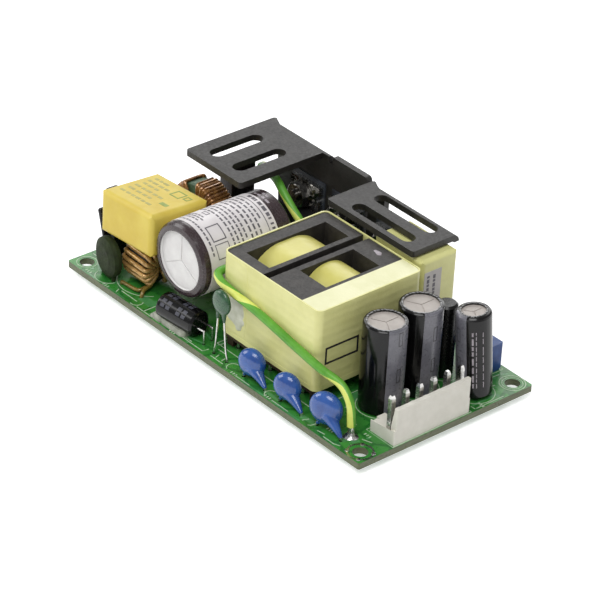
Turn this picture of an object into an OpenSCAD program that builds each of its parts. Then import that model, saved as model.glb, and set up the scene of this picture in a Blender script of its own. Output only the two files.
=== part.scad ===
// Open frame power supply: a bare board with its parts, two folded heatsinks, an input and an output header.
// X runs along the board, input end at -X and output end at +X. Y runs across it, heatsinks at +Y.
// Z = 0 is the plane of the lead tips under the board. Heights called z in the modules start at the board's top face.

/* [Board] */
// Length of the board
board_l = 101.6; // [100.6:0.1:103]
// Width of the board
board_w = 50.8; // [50.6:0.1:52]
// Thickness of the board
board_t = 1.6; // [1.2:0.1:2.4]
// Radius of the board's corners
board_r = 0.5; // [0.3:0.1:2.4]
// Distance from each edge to the middle of a mounting hole
hole_inset = 3.175; // [3:0.025:3.4]
// Diameter of the mounting holes
hole_d = 3.5; // [3.2:0.1:3.8]
// Length of the leads below the board
lead_tail = 1.5; // [1.2:0.1:2.4]

/* [Heatsinks] */
// Thickness of the folded sheet
sheet_t = 1.5; // [1:0.1:1.6]
// Height of the primary heatsink's top face above the board
primary_h = 27; // [26.4:0.1:28]
// Height of the output heatsink's top face above the board
output_h = 26.1; // [26:0.1:28]
// Width of the slots in the top plates
slot_w = 3.6; // [1.8:0.1:3.7]
// Length of the slots in the primary heatsink
slot_primary_l = 14.2; // [8:0.1:17]
// Solid length of the output heatsink's plate, beside its slots
slot_output_rest = 9.2; // [8.6:0.1:14]
// Thread diameter of the device screws
screw_d = 3; // [2.5:0.1:3.2]
// Width across the flats of the nuts
nut_af = 5.5; // [5:0.1:6]

/* [Input filter] */
// Length of the film capacitor's case
film_l = 18.4; // [15:0.1:18.5]
// Depth of the film capacitor's case
film_w = 16.4; // [12:0.1:16.6]
// Thickness of the film capacitor's case
film_t = 10.4; // [7:0.1:10.8]
// Outer diameter of the ring choke
ring_d = 18.6; // [16:0.1:19]
// Width of the ring choke over its wire
ring_w = 7; // [6:0.1:9]
// Outer diameter of the small line choke
line_choke_d = 10.4; // [8:0.1:10.6]
// Diameter of the varistor disc
varistor_d = 9.8; // [7:0.1:10]
// Height of the fuse
fuse_h = 19.4; // [9:0.1:20]

/* [Capacitors] */
// Diameter of the bulk capacitor over its sleeve
bulk_d = 17.8; // [15:0.1:17.9]
// Length of the bulk capacitor
bulk_l = 26; // [22:0.1:26.2]
// Diameter of the two larger output capacitors
out_d = 10; // [8:0.1:10.2]
// Height of the two larger output capacitors
out_h = 21.6; // [16:0.1:24]
// Diameter of the smaller output capacitor
out_small_d = 8; // [6.3:0.1:8]
// Height of the smaller output capacitor
out_small_h = 20.4; // [14:0.1:21]
// Diameter of the two smaller safety discs
disc_d = 7; // [5.5:0.1:7.4]
// Diameter of the larger safety disc
disc_big_d = 7.9; // [6:0.1:8.2]

/* [Transformers] */
// Height of the main transformer's top face above the board
core_h = 24; // [20:0.1:24.4]
// Thickness of the tape around the main transformer
tape_t = 0.4; // [0.2:0.05:0.5]
// Gap between the standby transformer and the plate above it
standby_gap = 2.2; // [1:0.1:6]

/* [Headers] */
// Number of output pins
out_pins = 6; // [3:1:6]
// Distance between output pins
pin_pitch = 3.96; // [2.54:0.01:3.96]
// Height of the headers' tall wall
wall_h = 10.8; // [7:0.1:12]
// Height of the pin tips above the board
pin_h = 11.2; // [8:0.1:12.5]
// Width of a square pin
pin_w = 1.14; // [0.8:0.01:1.3]

/* [Wire] */
// Diameter of the earth wire
wire_d = 2; // [1.4:0.1:2.1]

/* [Hidden] */
$fn = 48;
deck = lead_tail + board_t;
hole_gap = 0.15;
fit_gap = 0.05;
clear = 0.3;
bx = board_l / 2;
by = board_w / 2;
// Film capacitor, lying on its side above the small choke and a little tilted
film_x0 = -bx + 7.6;
film_x1 = film_x0 + film_l;
film_y0 = -by + 3.4;
film_y1 = film_y0 + film_w;
film_tilt = [-3.4, -4.1, 0];
film_lead_y = film_y1 + 1;
film_pitch = film_l - 3.4;
// Bulk capacitor, lying along Y between the film capacitor and the transformer
bulk_r = bulk_d / 2;
bulk_x = film_x1 + clear + bulk_r;
bulk_y1 = -by + 4.1 + bulk_l;
bulk_pitch = 7.5;
bulk_lead_y = bulk_y1 + 1.8;
bulk_under_sink = 0.9;
// Output header, against the output edge
oh_x1 = bx - 0.5;
oh_x0 = oh_x1 - 7.7;
oh_mid = -4.2;
oh_l = (out_pins - 1) * pin_pitch + 2.2;
base_h = 3.6;
wall_t = 1.1;
oh_pin_x = oh_x1 - 2.6;
// Output capacitors
sleeve_t = 0.25;
oca = [oh_x0 - 0.8 - out_d / 2, -7];
ocb = [oh_x0 - 1.6 - out_d / 2, 3.9];
occ = [bx - 5.6, 13];
occ_tilt = [2.5, -4.2, 0];
oc_z = 0.1;
// Ends of the main transformer, between the bulk capacitor and the output capacitors
t_x0 = bulk_x + bulk_r + 4.2;
t_x1 = ocb[0] - out_d / 2 - 1.8 - tape_t;
// Heatsinks: outer and inner faces of the upright plates, and the ends of the plates
sink_out = by - 0.2;
sink_in = sink_out - sheet_t;
bend_in = 0.5;
bend_out = bend_in + sheet_t;
primary_under = primary_h - sheet_t;
output_under = output_h - sheet_t;
p_x0 = -bx + 12.1;
p_x1 = p_x0 + 19.4;
p_y0 = by - 25.7;
p_up_x0 = p_x0 + 4.8;
p_up_x1 = t_x0 - 1.9;
p_fold_x1 = p_x1 + 2.2;
notch_w = 0.9;
p_slots = [[p_x0 + 5.4, p_y0 + 10], [p_x1 - 5.9, p_y0 + 10]];
o_x0 = p_up_x1 + 0.4;
o_x1 = t_x1 - 4.2;
o_y0 = by - 14.1;
o_up_x0 = o_x0 + 4.5;
o_slots = [[(o_x0 + o_x1) / 2 + 1, o_y0 + 3.3], [(o_x0 + o_x1) / 2 + 1, o_y0 + 9.9]];
slot_output_l = o_x1 - o_x0 - slot_output_rest;
sink_pin_r = 0.5;
sink_pin_y = sink_in + 0.5;
sink_pins = [p_up_x0 + 2, p_up_x1 - 2, o_up_x0 + 1.6, o_x1 - 2];
// Power devices on the upright plates
dev_w = 10;
pad_w = 11.2;
dev_tab_t = 1.3;
dev_body_t = 3.2;
dev_body_h = 9;
dev_h = 15.6;
dev_z = 2.4;
dev_hole_z = dev_z + 12.7;
dev_pitch = 2.54;
pad_t = 0.3;
dev_x = [p_up_x0 + 10.3, p_up_x1 - 5.6, o_up_x0 + 4.8];
dev_y = sink_in - pad_t;
dev_lead_y = dev_y - dev_tab_t - 1.3;
nut_t = 2.4;
washer_t = 0.5;
screw_r = screw_d / 2;
// Heights that follow the plates above the parts
bulk_z = primary_under - bulk_under_sink - bulk_r;
standby_h = output_under - standby_gap;
// Fuse standing upright, its upper lead folded down beside it
fuse_x0 = -bx + 1.4;
fuse_x1 = film_x0 - 0.7;
fuse_y0 = -by + 8.4;
fuse_y1 = fuse_y0 + 4.4;
fuse_lean = 14;
fuse_lead_r = 0.6;
fuse_lead = [fuse_x0 + 4, fuse_y0 - 0.8];
fuse_lead_h = 13.6;
// Varistor disc
var_x = -bx + 11;
var_y = -by + 3.4;
var_t = 3.6;
var_yaw = -10;
var_z = varistor_d / 2 + 0.4;
// Small line choke, its axis along X, with the film capacitor above it
lc_x = -bx + 17.6;
lc_y = -by + 10;
lc_w = 9.2;
lc_r = line_choke_d / 2;
lc_z = lc_r + 0.1;
lc_lead_r = 0.45;
lc_lead_z = 0.8;
lc_pads = [[lc_x + 5, lc_y - 6.1, lc_lead_r], [lc_x - 2.4, lc_y - 6.1, lc_lead_r]];
film_z = lc_z + lc_r + film_t / 2 + 0.45;
// Input header, beside the fuse
ih_x0 = -bx + 0.5;
ih_x1 = ih_x0 + 7.4;
ih_l = 10;
ih_mid = fuse_y1 + 0.5 + ih_l / 2;
ih_pitch = 7.92;
ih_pin_x = ih_x0 + 2.6;
// Black box capacitor under the primary heatsink
box_x0 = -bx + 9.8;
box_x1 = box_x0 + 5;
box_y0 = by - 14.4;
box_y1 = by - 7.6;
box_h = primary_under - 5.5;
// Ring choke, its axis along Y, halfway between the film capacitor's leads and the box capacitor
rc_x = -bx + 14.8;
rc_y = (film_lead_y + box_y0) / 2 - 0.4;
rc_r = ring_d / 2;
rc_core_o = rc_r - 1.2;
rc_core_i = rc_r - 4.6;
rc_wire_i = rc_r - 5.8;
rc_z = rc_r + 0.6;
rc_arc = 152;
rc_roll = 13.5;
rc_base_t = 0.4;
// Small capacitor, lying along X under the bulk capacitor's end
small_d = bulk_z - bulk_r - 0.6;
small_r = small_d / 2;
small_l = 11.5;
small_x1 = bulk_x + 8.1;
small_y1 = -by + 0.9 + small_r;
small_yaw = 4;
small_z = small_r + 0.1;
small_lead_x = small_x1 + 2.8;
small_lead_y = small_y1 + 0.2;
glue_x = small_x1 - small_l;
// Trimmer in the output corner at the heatsinks' side
trim_l = 6.8;
trim_x0 = bx - 15.6;
trim_y0 = by - 8.1;
trim_h = 7.1;
// Sleeved output choke, between the second output capacitor and the trimmer
chk_r = 2.4;
chk_h = 18.4;
chk_y0 = ocb[1] + out_d / 2 + chk_r;
chk = [ocb[0] - 0.6, chk_y0 + 0.3 * (trim_y0 - chk_r - chk_y0)];
// Parts along the open edge: the green disc, then three safety discs, each with its middle and its two leads
disc_t = 3.6;
y_lead_r = 0.35;
green_lead_r = 0.3;
yc = [bx - 14.6, -by + 3.4];
near_free = yc[0] - small_lead_x - 30.2;
green = [small_lead_x + 3.1 + 0.29 * near_free, -by + 2.45, 14];
ya = [green[0] + 6.7 + 0.36 * near_free, -by + 2.9];
yb = [ya[0] + 10.1 + 0.19 * near_free, -by + 3];
green_pads = [[green[0] - 2, green[1], green_lead_r], [green[0] + 2.6, green[1], green_lead_r]];
ya_pads = [[ya[0] - 1.5, ya[1] - 1, y_lead_r], [ya[0] + 5.8, ya[1] - 1, y_lead_r]];
yb_pads = [[yb[0] - 1.6, yb[1] - 1, y_lead_r], [yb[0] + 5.7, yb[1] - 1, y_lead_r]];
yc_pads = [[yc[0] - 1.8, yc[1] - 1, y_lead_r], [yc[0] + 5.8, yc[1] - 0.7, y_lead_r]];
// Main transformer: two ferrite rings and an end block inside one band of tape, laid out as shares of its length and depth
t_y0 = -by + 6.4;
t_y1 = o_y0 - 1.4;
t_z = 4.2;
t_r = 1.2;
t_u = (t_x1 - t_x0) / 31.3;
t_v = (t_y1 - t_y0) / 28.9;
ring_a = [for (s = [0, 3.4, 11.2, 12.5]) t_x0 + s * t_u];
win_a = [for (s = [3, 25.8]) t_y0 + s * t_v];
ring_b = [for (s = [14.4, 15.9, 24.5, 25.5]) t_x0 + s * t_u];
win_b = [for (s = [7.7, 23]) t_y0 + s * t_v];
t_mid_z = (core_h + t_z) / 2;
leg_r = 3.6;
rail_z = 2.4;
rail_y = [t_y0 + 2, t_y1 - 2];
t_pins = [for (s = [3.5, 9, 14.5, 20, 25.5], y = rail_y) [t_x0 + s * t_u, y, 0.5]];
// Standby transformer
s_x0 = o_up_x0 + 10.5;
s_x1 = t_x1 - 2;
s_y0 = t_y1 + 2.5;
s_y1 = by - 2.4;
s_pins = [for (u = [0.13, 0.48, 0.82], v = [0.15, 0.85]) [s_x0 + u * (s_x1 - s_x0), s_y0 + v * (s_y1 - s_y0), 0.4]];
// Earth wire: the middle line of its cover, then its bared ends
wire_r = wire_d / 2;
wire_core = 0.6;
wire_x1 = bx - 8.8;
wire_y1 = -by + 5.4;
wire_y = t_y0 - tape_t - wire_r - 0.15;
wire_x = t_x0 - tape_t - wire_r - 0.15;
wire_pts = [[wire_x1, wire_y1, 0.9], [wire_x1 - 0.1, wire_y1, 4], [wire_x1 - 1, wire_y1 + 0.1, 8],
  [wire_x1 - 4.5, wire_y1 + 0.4, 10.6], [32, wire_y, 12], [24, wire_y, 13.2], [11, wire_y, 15.4], [2, wire_y, 16.3], [wire_x + 1.6, wire_y, 17.4],
  [wire_x - 0.1, wire_y + 2.3, 18], [wire_x, -8, 16.6], [-4.8, 2, 15.6], [-7.6, 8.8, 15.6], [-12, 11, 16.3], [-15.2, 11.2, 18.2],
  [-18.3, 11.4, 20.3], [-22.3, 12.2, 22.2], [-27, 13.6, 21.8], [-31.5, 15.5, 20.2], [-34.4, 18.6, 18.2], [-37, 20.4, 16],
  [-40.4, 21.1, 12], [-42.7, 21.4, 7], [-43, 21.5, 0.9]];
wire_ends = [[wire_x1, wire_y1, wire_core], [-43, 21.5, wire_core]];
// Every round lead that passes the board: middle and radius
film_pads = [for (s = [-1, 1]) [(film_x0 + film_x1) / 2 + s * film_pitch / 2, film_lead_y, 0.4]];
fuse_pads = [[(fuse_x0 + fuse_x1) / 2, (fuse_y0 + fuse_y1) / 2, 0.4], [fuse_lead[0], fuse_lead[1], 0.4]];
var_pads = [for (s = [-1, 1]) [var_x + s * 2.5 * cos(var_yaw), var_y + s * 2.5 * sin(var_yaw), 0.4]];
rc_pads = [for (sx = [-1, 1], sy = [-1, 1]) [rc_x + sx * 5, rc_y + sy * 2, 0.45]];
box_pads = [for (y = [box_y0 + 1.2, box_y1 - 1.2]) [(box_x0 + box_x1) / 2, y, 0.35]];
bulk_pads = [for (s = [-1, 1]) [bulk_x + s * bulk_pitch / 2, bulk_lead_y, 0.4]];
small_pads = [for (s = [-1, 1]) [small_lead_x - s * 1.25 * sin(small_yaw), small_lead_y + s * 1.25 * cos(small_yaw), 0.25]];
dev_pads = [for (x = dev_x, k = [-1, 0, 1]) [x + k * dev_pitch, dev_lead_y, 0.42]];
oc_pads = [for (s = [-1, 1], c = [oca, ocb, occ]) [c[0], c[1] + s * (c == occ ? 1.75 : 2.5), 0.3]];
chk_pads = [for (s = [-1, 1]) [chk[0], chk[1] + s * 1.25, 0.3]];
trim_pads = [for (k = [-1, 0, 1]) [trim_x0 + trim_l / 2 + k * 2.4, trim_y0 + trim_l / 2 + (k == 0 ? 1.8 : -1.6), 0.3]];
sink_pads = [for (x = sink_pins) [x, sink_pin_y, sink_pin_r]];
oh_pads = [for (k = [0:out_pins - 1]) [oh_pin_x, oh_mid + (k - (out_pins - 1) / 2) * pin_pitch, pin_w * 0.72]];
ih_pads = [for (s = [-1, 1]) [ih_pin_x, ih_mid + s * ih_pitch / 2, pin_w * 0.72]];
PADS = concat(film_pads, fuse_pads, var_pads, lc_pads, rc_pads, box_pads, bulk_pads, small_pads, dev_pads, oc_pads,
  chk_pads, trim_pads, sink_pads, oh_pads, ih_pads, ya_pads, yb_pads, yc_pads, green_pads, t_pins, s_pins, wire_ends);

// Shared shapes

module rrect(l, w, r) {
  square([l - 2 * r, w], center = true);
  square([l, w - 2 * r], center = true);
  for (sx = [-1, 1], sy = [-1, 1])
    translate([sx * (l / 2 - r), sy * (w / 2 - r)])
      circle(r = r, $fn = 32);
}

module slab(x0, x1, y0, y1, z0, z1, r) {
  translate([(x0 + x1) / 2, (y0 + y1) / 2, deck + z0])
    linear_extrude(z1 - z0)
      rrect(x1 - x0, y1 - y0, r);
}

module block(x0, x1, y0, y1, z0, z1) {
  translate([x0, y0, deck + z0])
    cube([x1 - x0, y1 - y0, z1 - z0]);
}

module pillow(x0, x1, y0, y1, z0, z1, r) {
  translate([(x0 + x1) / 2, (y0 + y1) / 2, deck + (z0 + z1) / 2])
    intersection() {
      linear_extrude(z1 - z0, center = true)
        rrect(x1 - x0, y1 - y0, r);
      rotate([90, 0, 90])
        linear_extrude(x1 - x0, center = true)
          rrect(y1 - y0, z1 - z0, r);
      rotate([90, 0, 0])
        linear_extrude(y1 - y0, center = true)
          rrect(x1 - x0, z1 - z0, r);
    }
}

module slot2d(l, w) {
  square([l - w, w], center = true);
  for (s = [-1, 1])
    translate([s * (l - w) / 2, 0])
      circle(d = w, $fn = 32);
}

module lead(p, z1) {
  translate([p[0], p[1], 0])
    cylinder(h = deck + z1, r = p[2], $fn = 20);
}

module along_y(x, y0, y1, z, r) {
  translate([x, y0, deck + z])
    rotate([-90, 0, 0])
      cylinder(h = y1 - y0, r = r, $fn = 20);
}

module ball(x, y, z, r) {
  translate([x, y, deck + z])
    sphere(r = r, $fn = 20);
}

function shoulder(lip) = min(1.5, lip - 0.35);

module sleeve(r, h, lip) {
  k = shoulder(lip);
  rotate_extrude($fn = 64)
    polygon([[r, 0.5], [r, h - k], [r - 0.13 * k, h - 0.5 * k], [r - 0.45 * k, h - 0.13 * k], [r - k, h], [r - lip, h],
      [r - lip, h - sleeve_t], [r - k, h - sleeve_t], [r - 0.45 * k - 0.75 * sleeve_t, h - 0.13 * k - 0.75 * sleeve_t],
      [r - sleeve_t, h - k], [r - sleeve_t, 0.55], [r - sleeve_t - 0.35, sleeve_t], [r - lip, sleeve_t], [r - lip, 0], [r - 0.5, 0]]);
}

module can(r, h, lip, rays, top_in) {
  k = shoulder(lip);
  rc = r - sleeve_t - fit_gap;
  top = h - sleeve_t - fit_gap;
  difference() {
    rotate_extrude($fn = 64)
      polygon([[0, sleeve_t + fit_gap], [rc - 0.45, sleeve_t + fit_gap], [rc, 0.75], [rc, h - k - 0.1],
        [rc - 0.45 * k, top - 0.13 * k - 0.1], [r - k - 0.1, top], [r - lip + 0.2, top], [r - lip - 0.15, h - top_in],
        [0, h - top_in]]);
    for (i = [0:rays - 1])
      rotate([0, 0, i * 360 / rays + 90])
        translate([0, -0.12, h - top_in - 0.15])
          cube([r - lip - 0.6, 0.24, 1]);
  }
}

module coil_ring(ro, ri, w, core_o, core_i, core_w, a) {
  rotate([0, 0, -a / 2])
    rotate_extrude(angle = a, $fn = 72)
      difference() {
        translate([(ro + ri) / 2, 0])
          rrect(ro - ri, w, 0.9);
        translate([core_i - 0.1, -core_w / 2 - 0.1])
          square([core_o - core_i + 0.2, core_w + 0.2]);
      }
}

module core_ring(ro, ri, w) {
  rotate_extrude($fn = 72)
    translate([(ro + ri) / 2, 0])
      rrect(ro - ri, w, 0.5);
}

// Board

module circuit_board() {
  color([0.12, 0.36, 0.18])
    translate([0, 0, lead_tail])
      linear_extrude(board_t)
        difference() {
          rrect(board_l, board_w, board_r);
          for (sx = [-1, 1], sy = [-1, 1])
            translate([sx * (bx - hole_inset), sy * (by - hole_inset)])
              circle(d = hole_d);
          for (p = PADS)
            translate([p[0], p[1]])
              circle(r = p[2] + hole_gap, $fn = 24);
        }
}

module solder_joints() {
  color([0.75, 0.76, 0.77])
    for (p = PADS)
      translate([p[0], p[1], lead_tail])
        rotate_extrude($fn = 24)
          translate([p[2] + 0.03, 0])
            polygon([[0, 0], [0.62, 0], [0.4, -0.45], [0.12, -0.95], [0, -1]]);
}

// Heatsinks

module top_plate(x0, x1, y0, up_x0, slots, l, turn) {
  linear_extrude(sheet_t)
    difference() {
      translate([(x0 + x1) / 2, (y0 + sink_out) / 2])
        rrect(x1 - x0, sink_out - y0, 0.7);
      translate([up_x0, sink_out - bend_out])
        square([x1 - up_x0 + 1, bend_out + 1]);
      for (p = slots)
        translate(p)
          rotate(turn)
            slot2d(l, slot_w);
    }
}

module fold(x0, x1, h) {
  translate([x0, sink_out - bend_out, deck + h - bend_out])
    rotate([90, 0, 90])
      linear_extrude(x1 - x0)
        intersection() {
          difference() {
            circle(r = bend_out);
            circle(r = bend_in);
          }
          square(bend_out + 1);
        }
}

module upright(x0, x1, z1) {
  translate([x0, sink_in, deck])
    cube([x1 - x0, sheet_t, z1]);
}

module screw_hole(x) {
  translate([x, sink_out, deck + dev_hole_z])
    rotate([90, 0, 0])
      union() {
        translate([0, 0, -0.01])
          cylinder(h = 1.26 + fit_gap, r1 = screw_r + 1.3 + fit_gap, r2 = screw_r + fit_gap, $fn = 40);
        cylinder(h = sheet_t + 1, r = screw_r + fit_gap, $fn = 40);
      }
}

module round_end(x0, x1, z1, r) {
  translate([x0, sink_out, deck])
    rotate([90, 0, 0])
      linear_extrude(sheet_t)
        union() {
          square([x1 - x0 - r, z1]);
          square([x1 - x0, z1 - r]);
          translate([x1 - x0 - r, z1 - r])
            circle(r = r, $fn = 32);
        }
}

module primary_heatsink() {
  color([0.3, 0.3, 0.3])
    difference() {
      union() {
        translate([0, 0, deck + primary_under])
          top_plate(p_x0, p_x1, p_y0, p_up_x0, p_slots, slot_primary_l, 90);
        fold(p_up_x0, p_fold_x1, primary_h);
        upright(p_up_x0, p_fold_x1, primary_h - bend_out + 0.01);
        upright(p_fold_x1 - 0.01, p_fold_x1 + notch_w + 0.01, primary_h - bend_out);
        round_end(p_fold_x1 + notch_w, p_up_x1, primary_h - 0.1, 1);
        lead(sink_pads[0], 0.5);
        lead(sink_pads[1], 0.5);
      }
      screw_hole(dev_x[0]);
      screw_hole(dev_x[1]);
    }
}

module output_heatsink() {
  color([0.3, 0.3, 0.3])
    difference() {
      union() {
        translate([0, 0, deck + output_under])
          top_plate(o_x0, o_x1, o_y0, o_up_x0, o_slots, slot_output_l, 0);
        fold(o_up_x0, o_x1, output_h);
        upright(o_up_x0, o_x1, output_h - bend_out + 0.01);
        lead(sink_pads[2], 0.5);
        lead(sink_pads[3], 0.5);
      }
      screw_hole(dev_x[2]);
    }
}

module sink_screws() {
  color([0.7, 0.71, 0.72])
    for (x = dev_x)
      translate([x, sink_out, deck + dev_hole_z])
        rotate([90, 0, 0])
          difference() {
            union() {
              cylinder(h = 1.26, r1 = screw_r + 1.3, r2 = screw_r - 0.03, $fn = 40);
              cylinder(h = sheet_t + pad_t + dev_tab_t + washer_t + nut_t + 0.9, r = screw_r - 0.03, $fn = 40);
            }
            for (a = [0, 90])
              rotate([0, 0, a])
                translate([-1.3, -0.25, -1])
                  cube([2.6, 0.5, 1.8]);
          }
}

module sink_nuts() {
  color([0.72, 0.72, 0.7])
    for (x = dev_x)
      translate([x, dev_y - dev_tab_t - washer_t, deck + dev_hole_z])
        rotate([90, 0, 0])
          difference() {
            intersection() {
              rotate([0, 0, 12])
                cylinder(h = nut_t, d = nut_af / cos(30), $fn = 6);
              rotate_extrude($fn = 48)
                polygon([[0, 0], [nut_af / 2 - 0.1, 0], [nut_af / 2 + 0.5, 0.35], [nut_af / 2 + 0.5, nut_t - 0.35],
                  [nut_af / 2 - 0.1, nut_t], [0, nut_t]]);
            }
            translate([0, 0, -1])
              cylinder(h = nut_t + 2, r = screw_r + fit_gap, $fn = 40);
          }
}

module star_washers() {
  color([0.68, 0.68, 0.66])
    for (x = dev_x)
      translate([x, dev_y - dev_tab_t, deck + dev_hole_z])
        rotate([90, 0, 0])
          linear_extrude(washer_t)
            difference() {
              union() {
                circle(r = nut_af / 2 + 0.1, $fn = 40);
                for (k = [0:13])
                  rotate(k * 360 / 14)
                    translate([nut_af / 2, -0.32])
                      square([0.75, 0.64]);
              }
              circle(r = screw_r + 0.15, $fn = 40);
            }
}

module thermal_pads() {
  color([0.55, 0.57, 0.6])
    for (x = dev_x)
      difference() {
        block(x - pad_w / 2, x + pad_w / 2, dev_y, sink_in, dev_z - 0.8, dev_z + dev_h + 1);
        translate([x, sink_in + 1, deck + dev_hole_z])
          rotate([90, 0, 0])
            cylinder(h = 4, r = screw_r + 0.2, $fn = 40);
      }
}

module device_body(x) {
  color([0.1, 0.1, 0.11])
    difference() {
      pillow(x - dev_w / 2, x + dev_w / 2, dev_y - dev_tab_t - dev_body_t, dev_y - dev_tab_t, dev_z, dev_z + dev_body_h, 0.3);
      block(x - 3.4, x + 3.4, dev_lead_y - 0.5, dev_y - dev_tab_t + 1, dev_z - 1, dev_z + 2.02);
      translate([x, dev_y - dev_tab_t - dev_body_t, deck + dev_z + 6.6])
        rotate([90, 0, 0])
          cylinder(h = 0.3, r = 0.8, center = true, $fn = 32);
    }
}

module device_leadframe(i) {
  x = dev_x[i];
  color([0.74, 0.75, 0.75])
    difference() {
      union() {
        block(x - dev_w / 2, x + dev_w / 2, dev_y - dev_tab_t, dev_y, dev_z, dev_z + dev_h);
        block(x - 3.3, x + 3.3, dev_lead_y - 0.4, dev_y - dev_tab_t + 0.01, dev_z, dev_z + 1.9);
        for (k = [0:2])
          lead(dev_pads[3 * i + k], dev_z + 1);
      }
      translate([x, dev_y + 1, deck + dev_hole_z])
        rotate([90, 0, 0])
          cylinder(h = 4, r = screw_r + 0.2, $fn = 40);
      for (s = [-1, 1])
        translate([x + s * dev_w / 2, dev_y - dev_tab_t - 1, deck + dev_hole_z])
          rotate([-90, 0, 0])
            cylinder(h = 4, r = 0.9, $fn = 32);
    }
}

// Headers

module header(x0, x1, mid, l, wall_left, pads) {
  xw = wall_left ? x0 : x1 - wall_t;
  color([0.9, 0.9, 0.87])
    difference() {
      union() {
        slab(x0, x1, mid - l / 2, mid + l / 2, 0, base_h, 0.3);
        slab(xw, xw + wall_t, mid - l / 2 + 0.5, mid + l / 2 - 0.2, base_h - 0.5, wall_h, 0.3);
        for (p = pads)
          block(wall_left ? xw : xw - 0.7, wall_left ? xw + wall_t + 0.7 : xw + wall_t, p[1] - 0.5, p[1] + 0.5, base_h - 0.5, wall_h - 2.4);
      }
      for (p = pads)
        translate([p[0], p[1], deck])
          cube([pin_w + 2 * fit_gap, pin_w + 2 * fit_gap, 3 * base_h], center = true);
      for (p = pads)
        block(wall_left ? x1 - 1 : x0 - 1, wall_left ? x1 + 1 : x0 + 1, p[1] - 0.8, p[1] + 0.8, base_h - 1.4, base_h + 1);
    }
}

module header_pins(pads) {
  color([0.85, 0.85, 0.84])
    for (p = pads)
      translate([p[0], p[1], 0])
        union() {
          translate([-pin_w / 2, -pin_w / 2, 0.3])
            cube([pin_w, pin_w, deck + pin_h - 1.1]);
          translate([0, 0, deck + pin_h - 0.81])
            rotate([0, 0, 45])
              cylinder(h = 0.81, d1 = pin_w * sqrt(2), d2 = pin_w * 0.85, $fn = 4);
          translate([0, 0, 0])
            rotate([0, 0, 45])
              cylinder(h = 0.31, d1 = pin_w * 1.1, d2 = pin_w * sqrt(2), $fn = 4);
        }
}

// Input filter

module line_fuse() {
  color([0.08, 0.08, 0.08])
    union() {
      pillow(fuse_x0, fuse_x1, fuse_y0, fuse_y1, 0.3, fuse_h, 2.1);
      for (p = fuse_pads)
        lead(p, 0.7);
      ball(fuse_lead[0], fuse_lead[1], 0.7, fuse_lead_r + 0.06);
      translate([fuse_lead[0], fuse_lead[1], deck + 0.7])
        rotate([0, -fuse_lean, 0])
          cylinder(h = (fuse_lead_h - 0.7) / cos(fuse_lean), r = fuse_lead_r, $fn = 20);
      translate([fuse_lead[0] - (fuse_lead_h - 0.7) * tan(fuse_lean), 0, 0]) {
        ball(0, fuse_lead[1], fuse_lead_h, fuse_lead_r + 0.06);
        along_y(0, fuse_lead[1], fuse_lead[1] + 2.6, fuse_lead_h, fuse_lead_r);
      }
    }
}

module disc(d, t) {
  rotate([90, 0, 0])
    rotate_extrude($fn = 48)
      polygon([[0, -t / 2], [d * 0.3, -t / 2 + 0.15], [d * 0.42, -t / 2 + 0.55], [d / 2 - 0.15, -t / 4], [d / 2, 0], [d / 2 - 0.15, t / 4],
        [d * 0.42, t / 2 - 0.55], [d * 0.3, t / 2 - 0.15], [0, t / 2]]);
}

module varistor() {
  color([0.16, 0.25, 0.13])
    union() {
      translate([var_x, var_y, deck + var_z])
        rotate([0, 0, var_yaw])
          disc(varistor_d, var_t);
      for (p = var_pads)
        lead(p, var_z - varistor_d * 0.25);
      for (p = var_pads)
        translate([p[0], p[1], deck + 0.4])
          cylinder(h = 2.6, r1 = 0.5, r2 = 0.9, $fn = 24);
    }
}

module line_choke_core() {
  color([0.25, 0.3, 0.2])
    translate([lc_x, lc_y, deck + lc_z])
      rotate([0, 90, 0])
        core_ring(lc_r - 1.1, lc_r - 3, lc_w - 2.2);
}

module line_choke_coil() {
  color([0.75, 0.6, 0.35])
    union() {
      translate([lc_x, lc_y, deck + lc_z])
        rotate([0, 90, 0])
          coil_ring(lc_r, lc_r - 4, lc_w, lc_r - 1.1, lc_r - 3, lc_w - 2.2, 330);
      for (p = lc_pads) {
        lead(p, lc_lead_z);
        ball(p[0], p[1], lc_lead_z, p[2]);
        along_y(p[0] + (p[0] > lc_x ? -0.9 : 0.9), p[1], lc_y - 1.2, lc_lead_z, p[2]);
        translate([min(p[0], p[0] + (p[0] > lc_x ? -0.9 : 0.9)), p[1], deck + lc_lead_z])
          rotate([0, 90, 0])
            cylinder(h = 0.9, r = p[2], $fn = 20);
      }
    }
}

module ring_choke_core() {
  color([0.2, 0.4, 0.28])
    translate([rc_x, rc_y, deck + rc_z])
      rotate([90, 0, 0])
        core_ring(rc_core_o, rc_core_i, ring_w - 2.4);
}

module ring_choke_coil(side) {
  color([0.6, 0.38, 0.2])
    union() {
      translate([rc_x, rc_y, deck + rc_z])
        rotate([90, 0, 0])
          rotate([0, 0, rc_roll + (side > 0 ? 0 : 180)])
            coil_ring(rc_r, rc_wire_i, ring_w, rc_core_o, rc_core_i, ring_w - 2.4, rc_arc);
      for (p = rc_pads)
        if ((p[0] - rc_x) * side > 0)
          lead(p, rc_z - rc_core_o - 0.1 + 1.1);
    }
}

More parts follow.
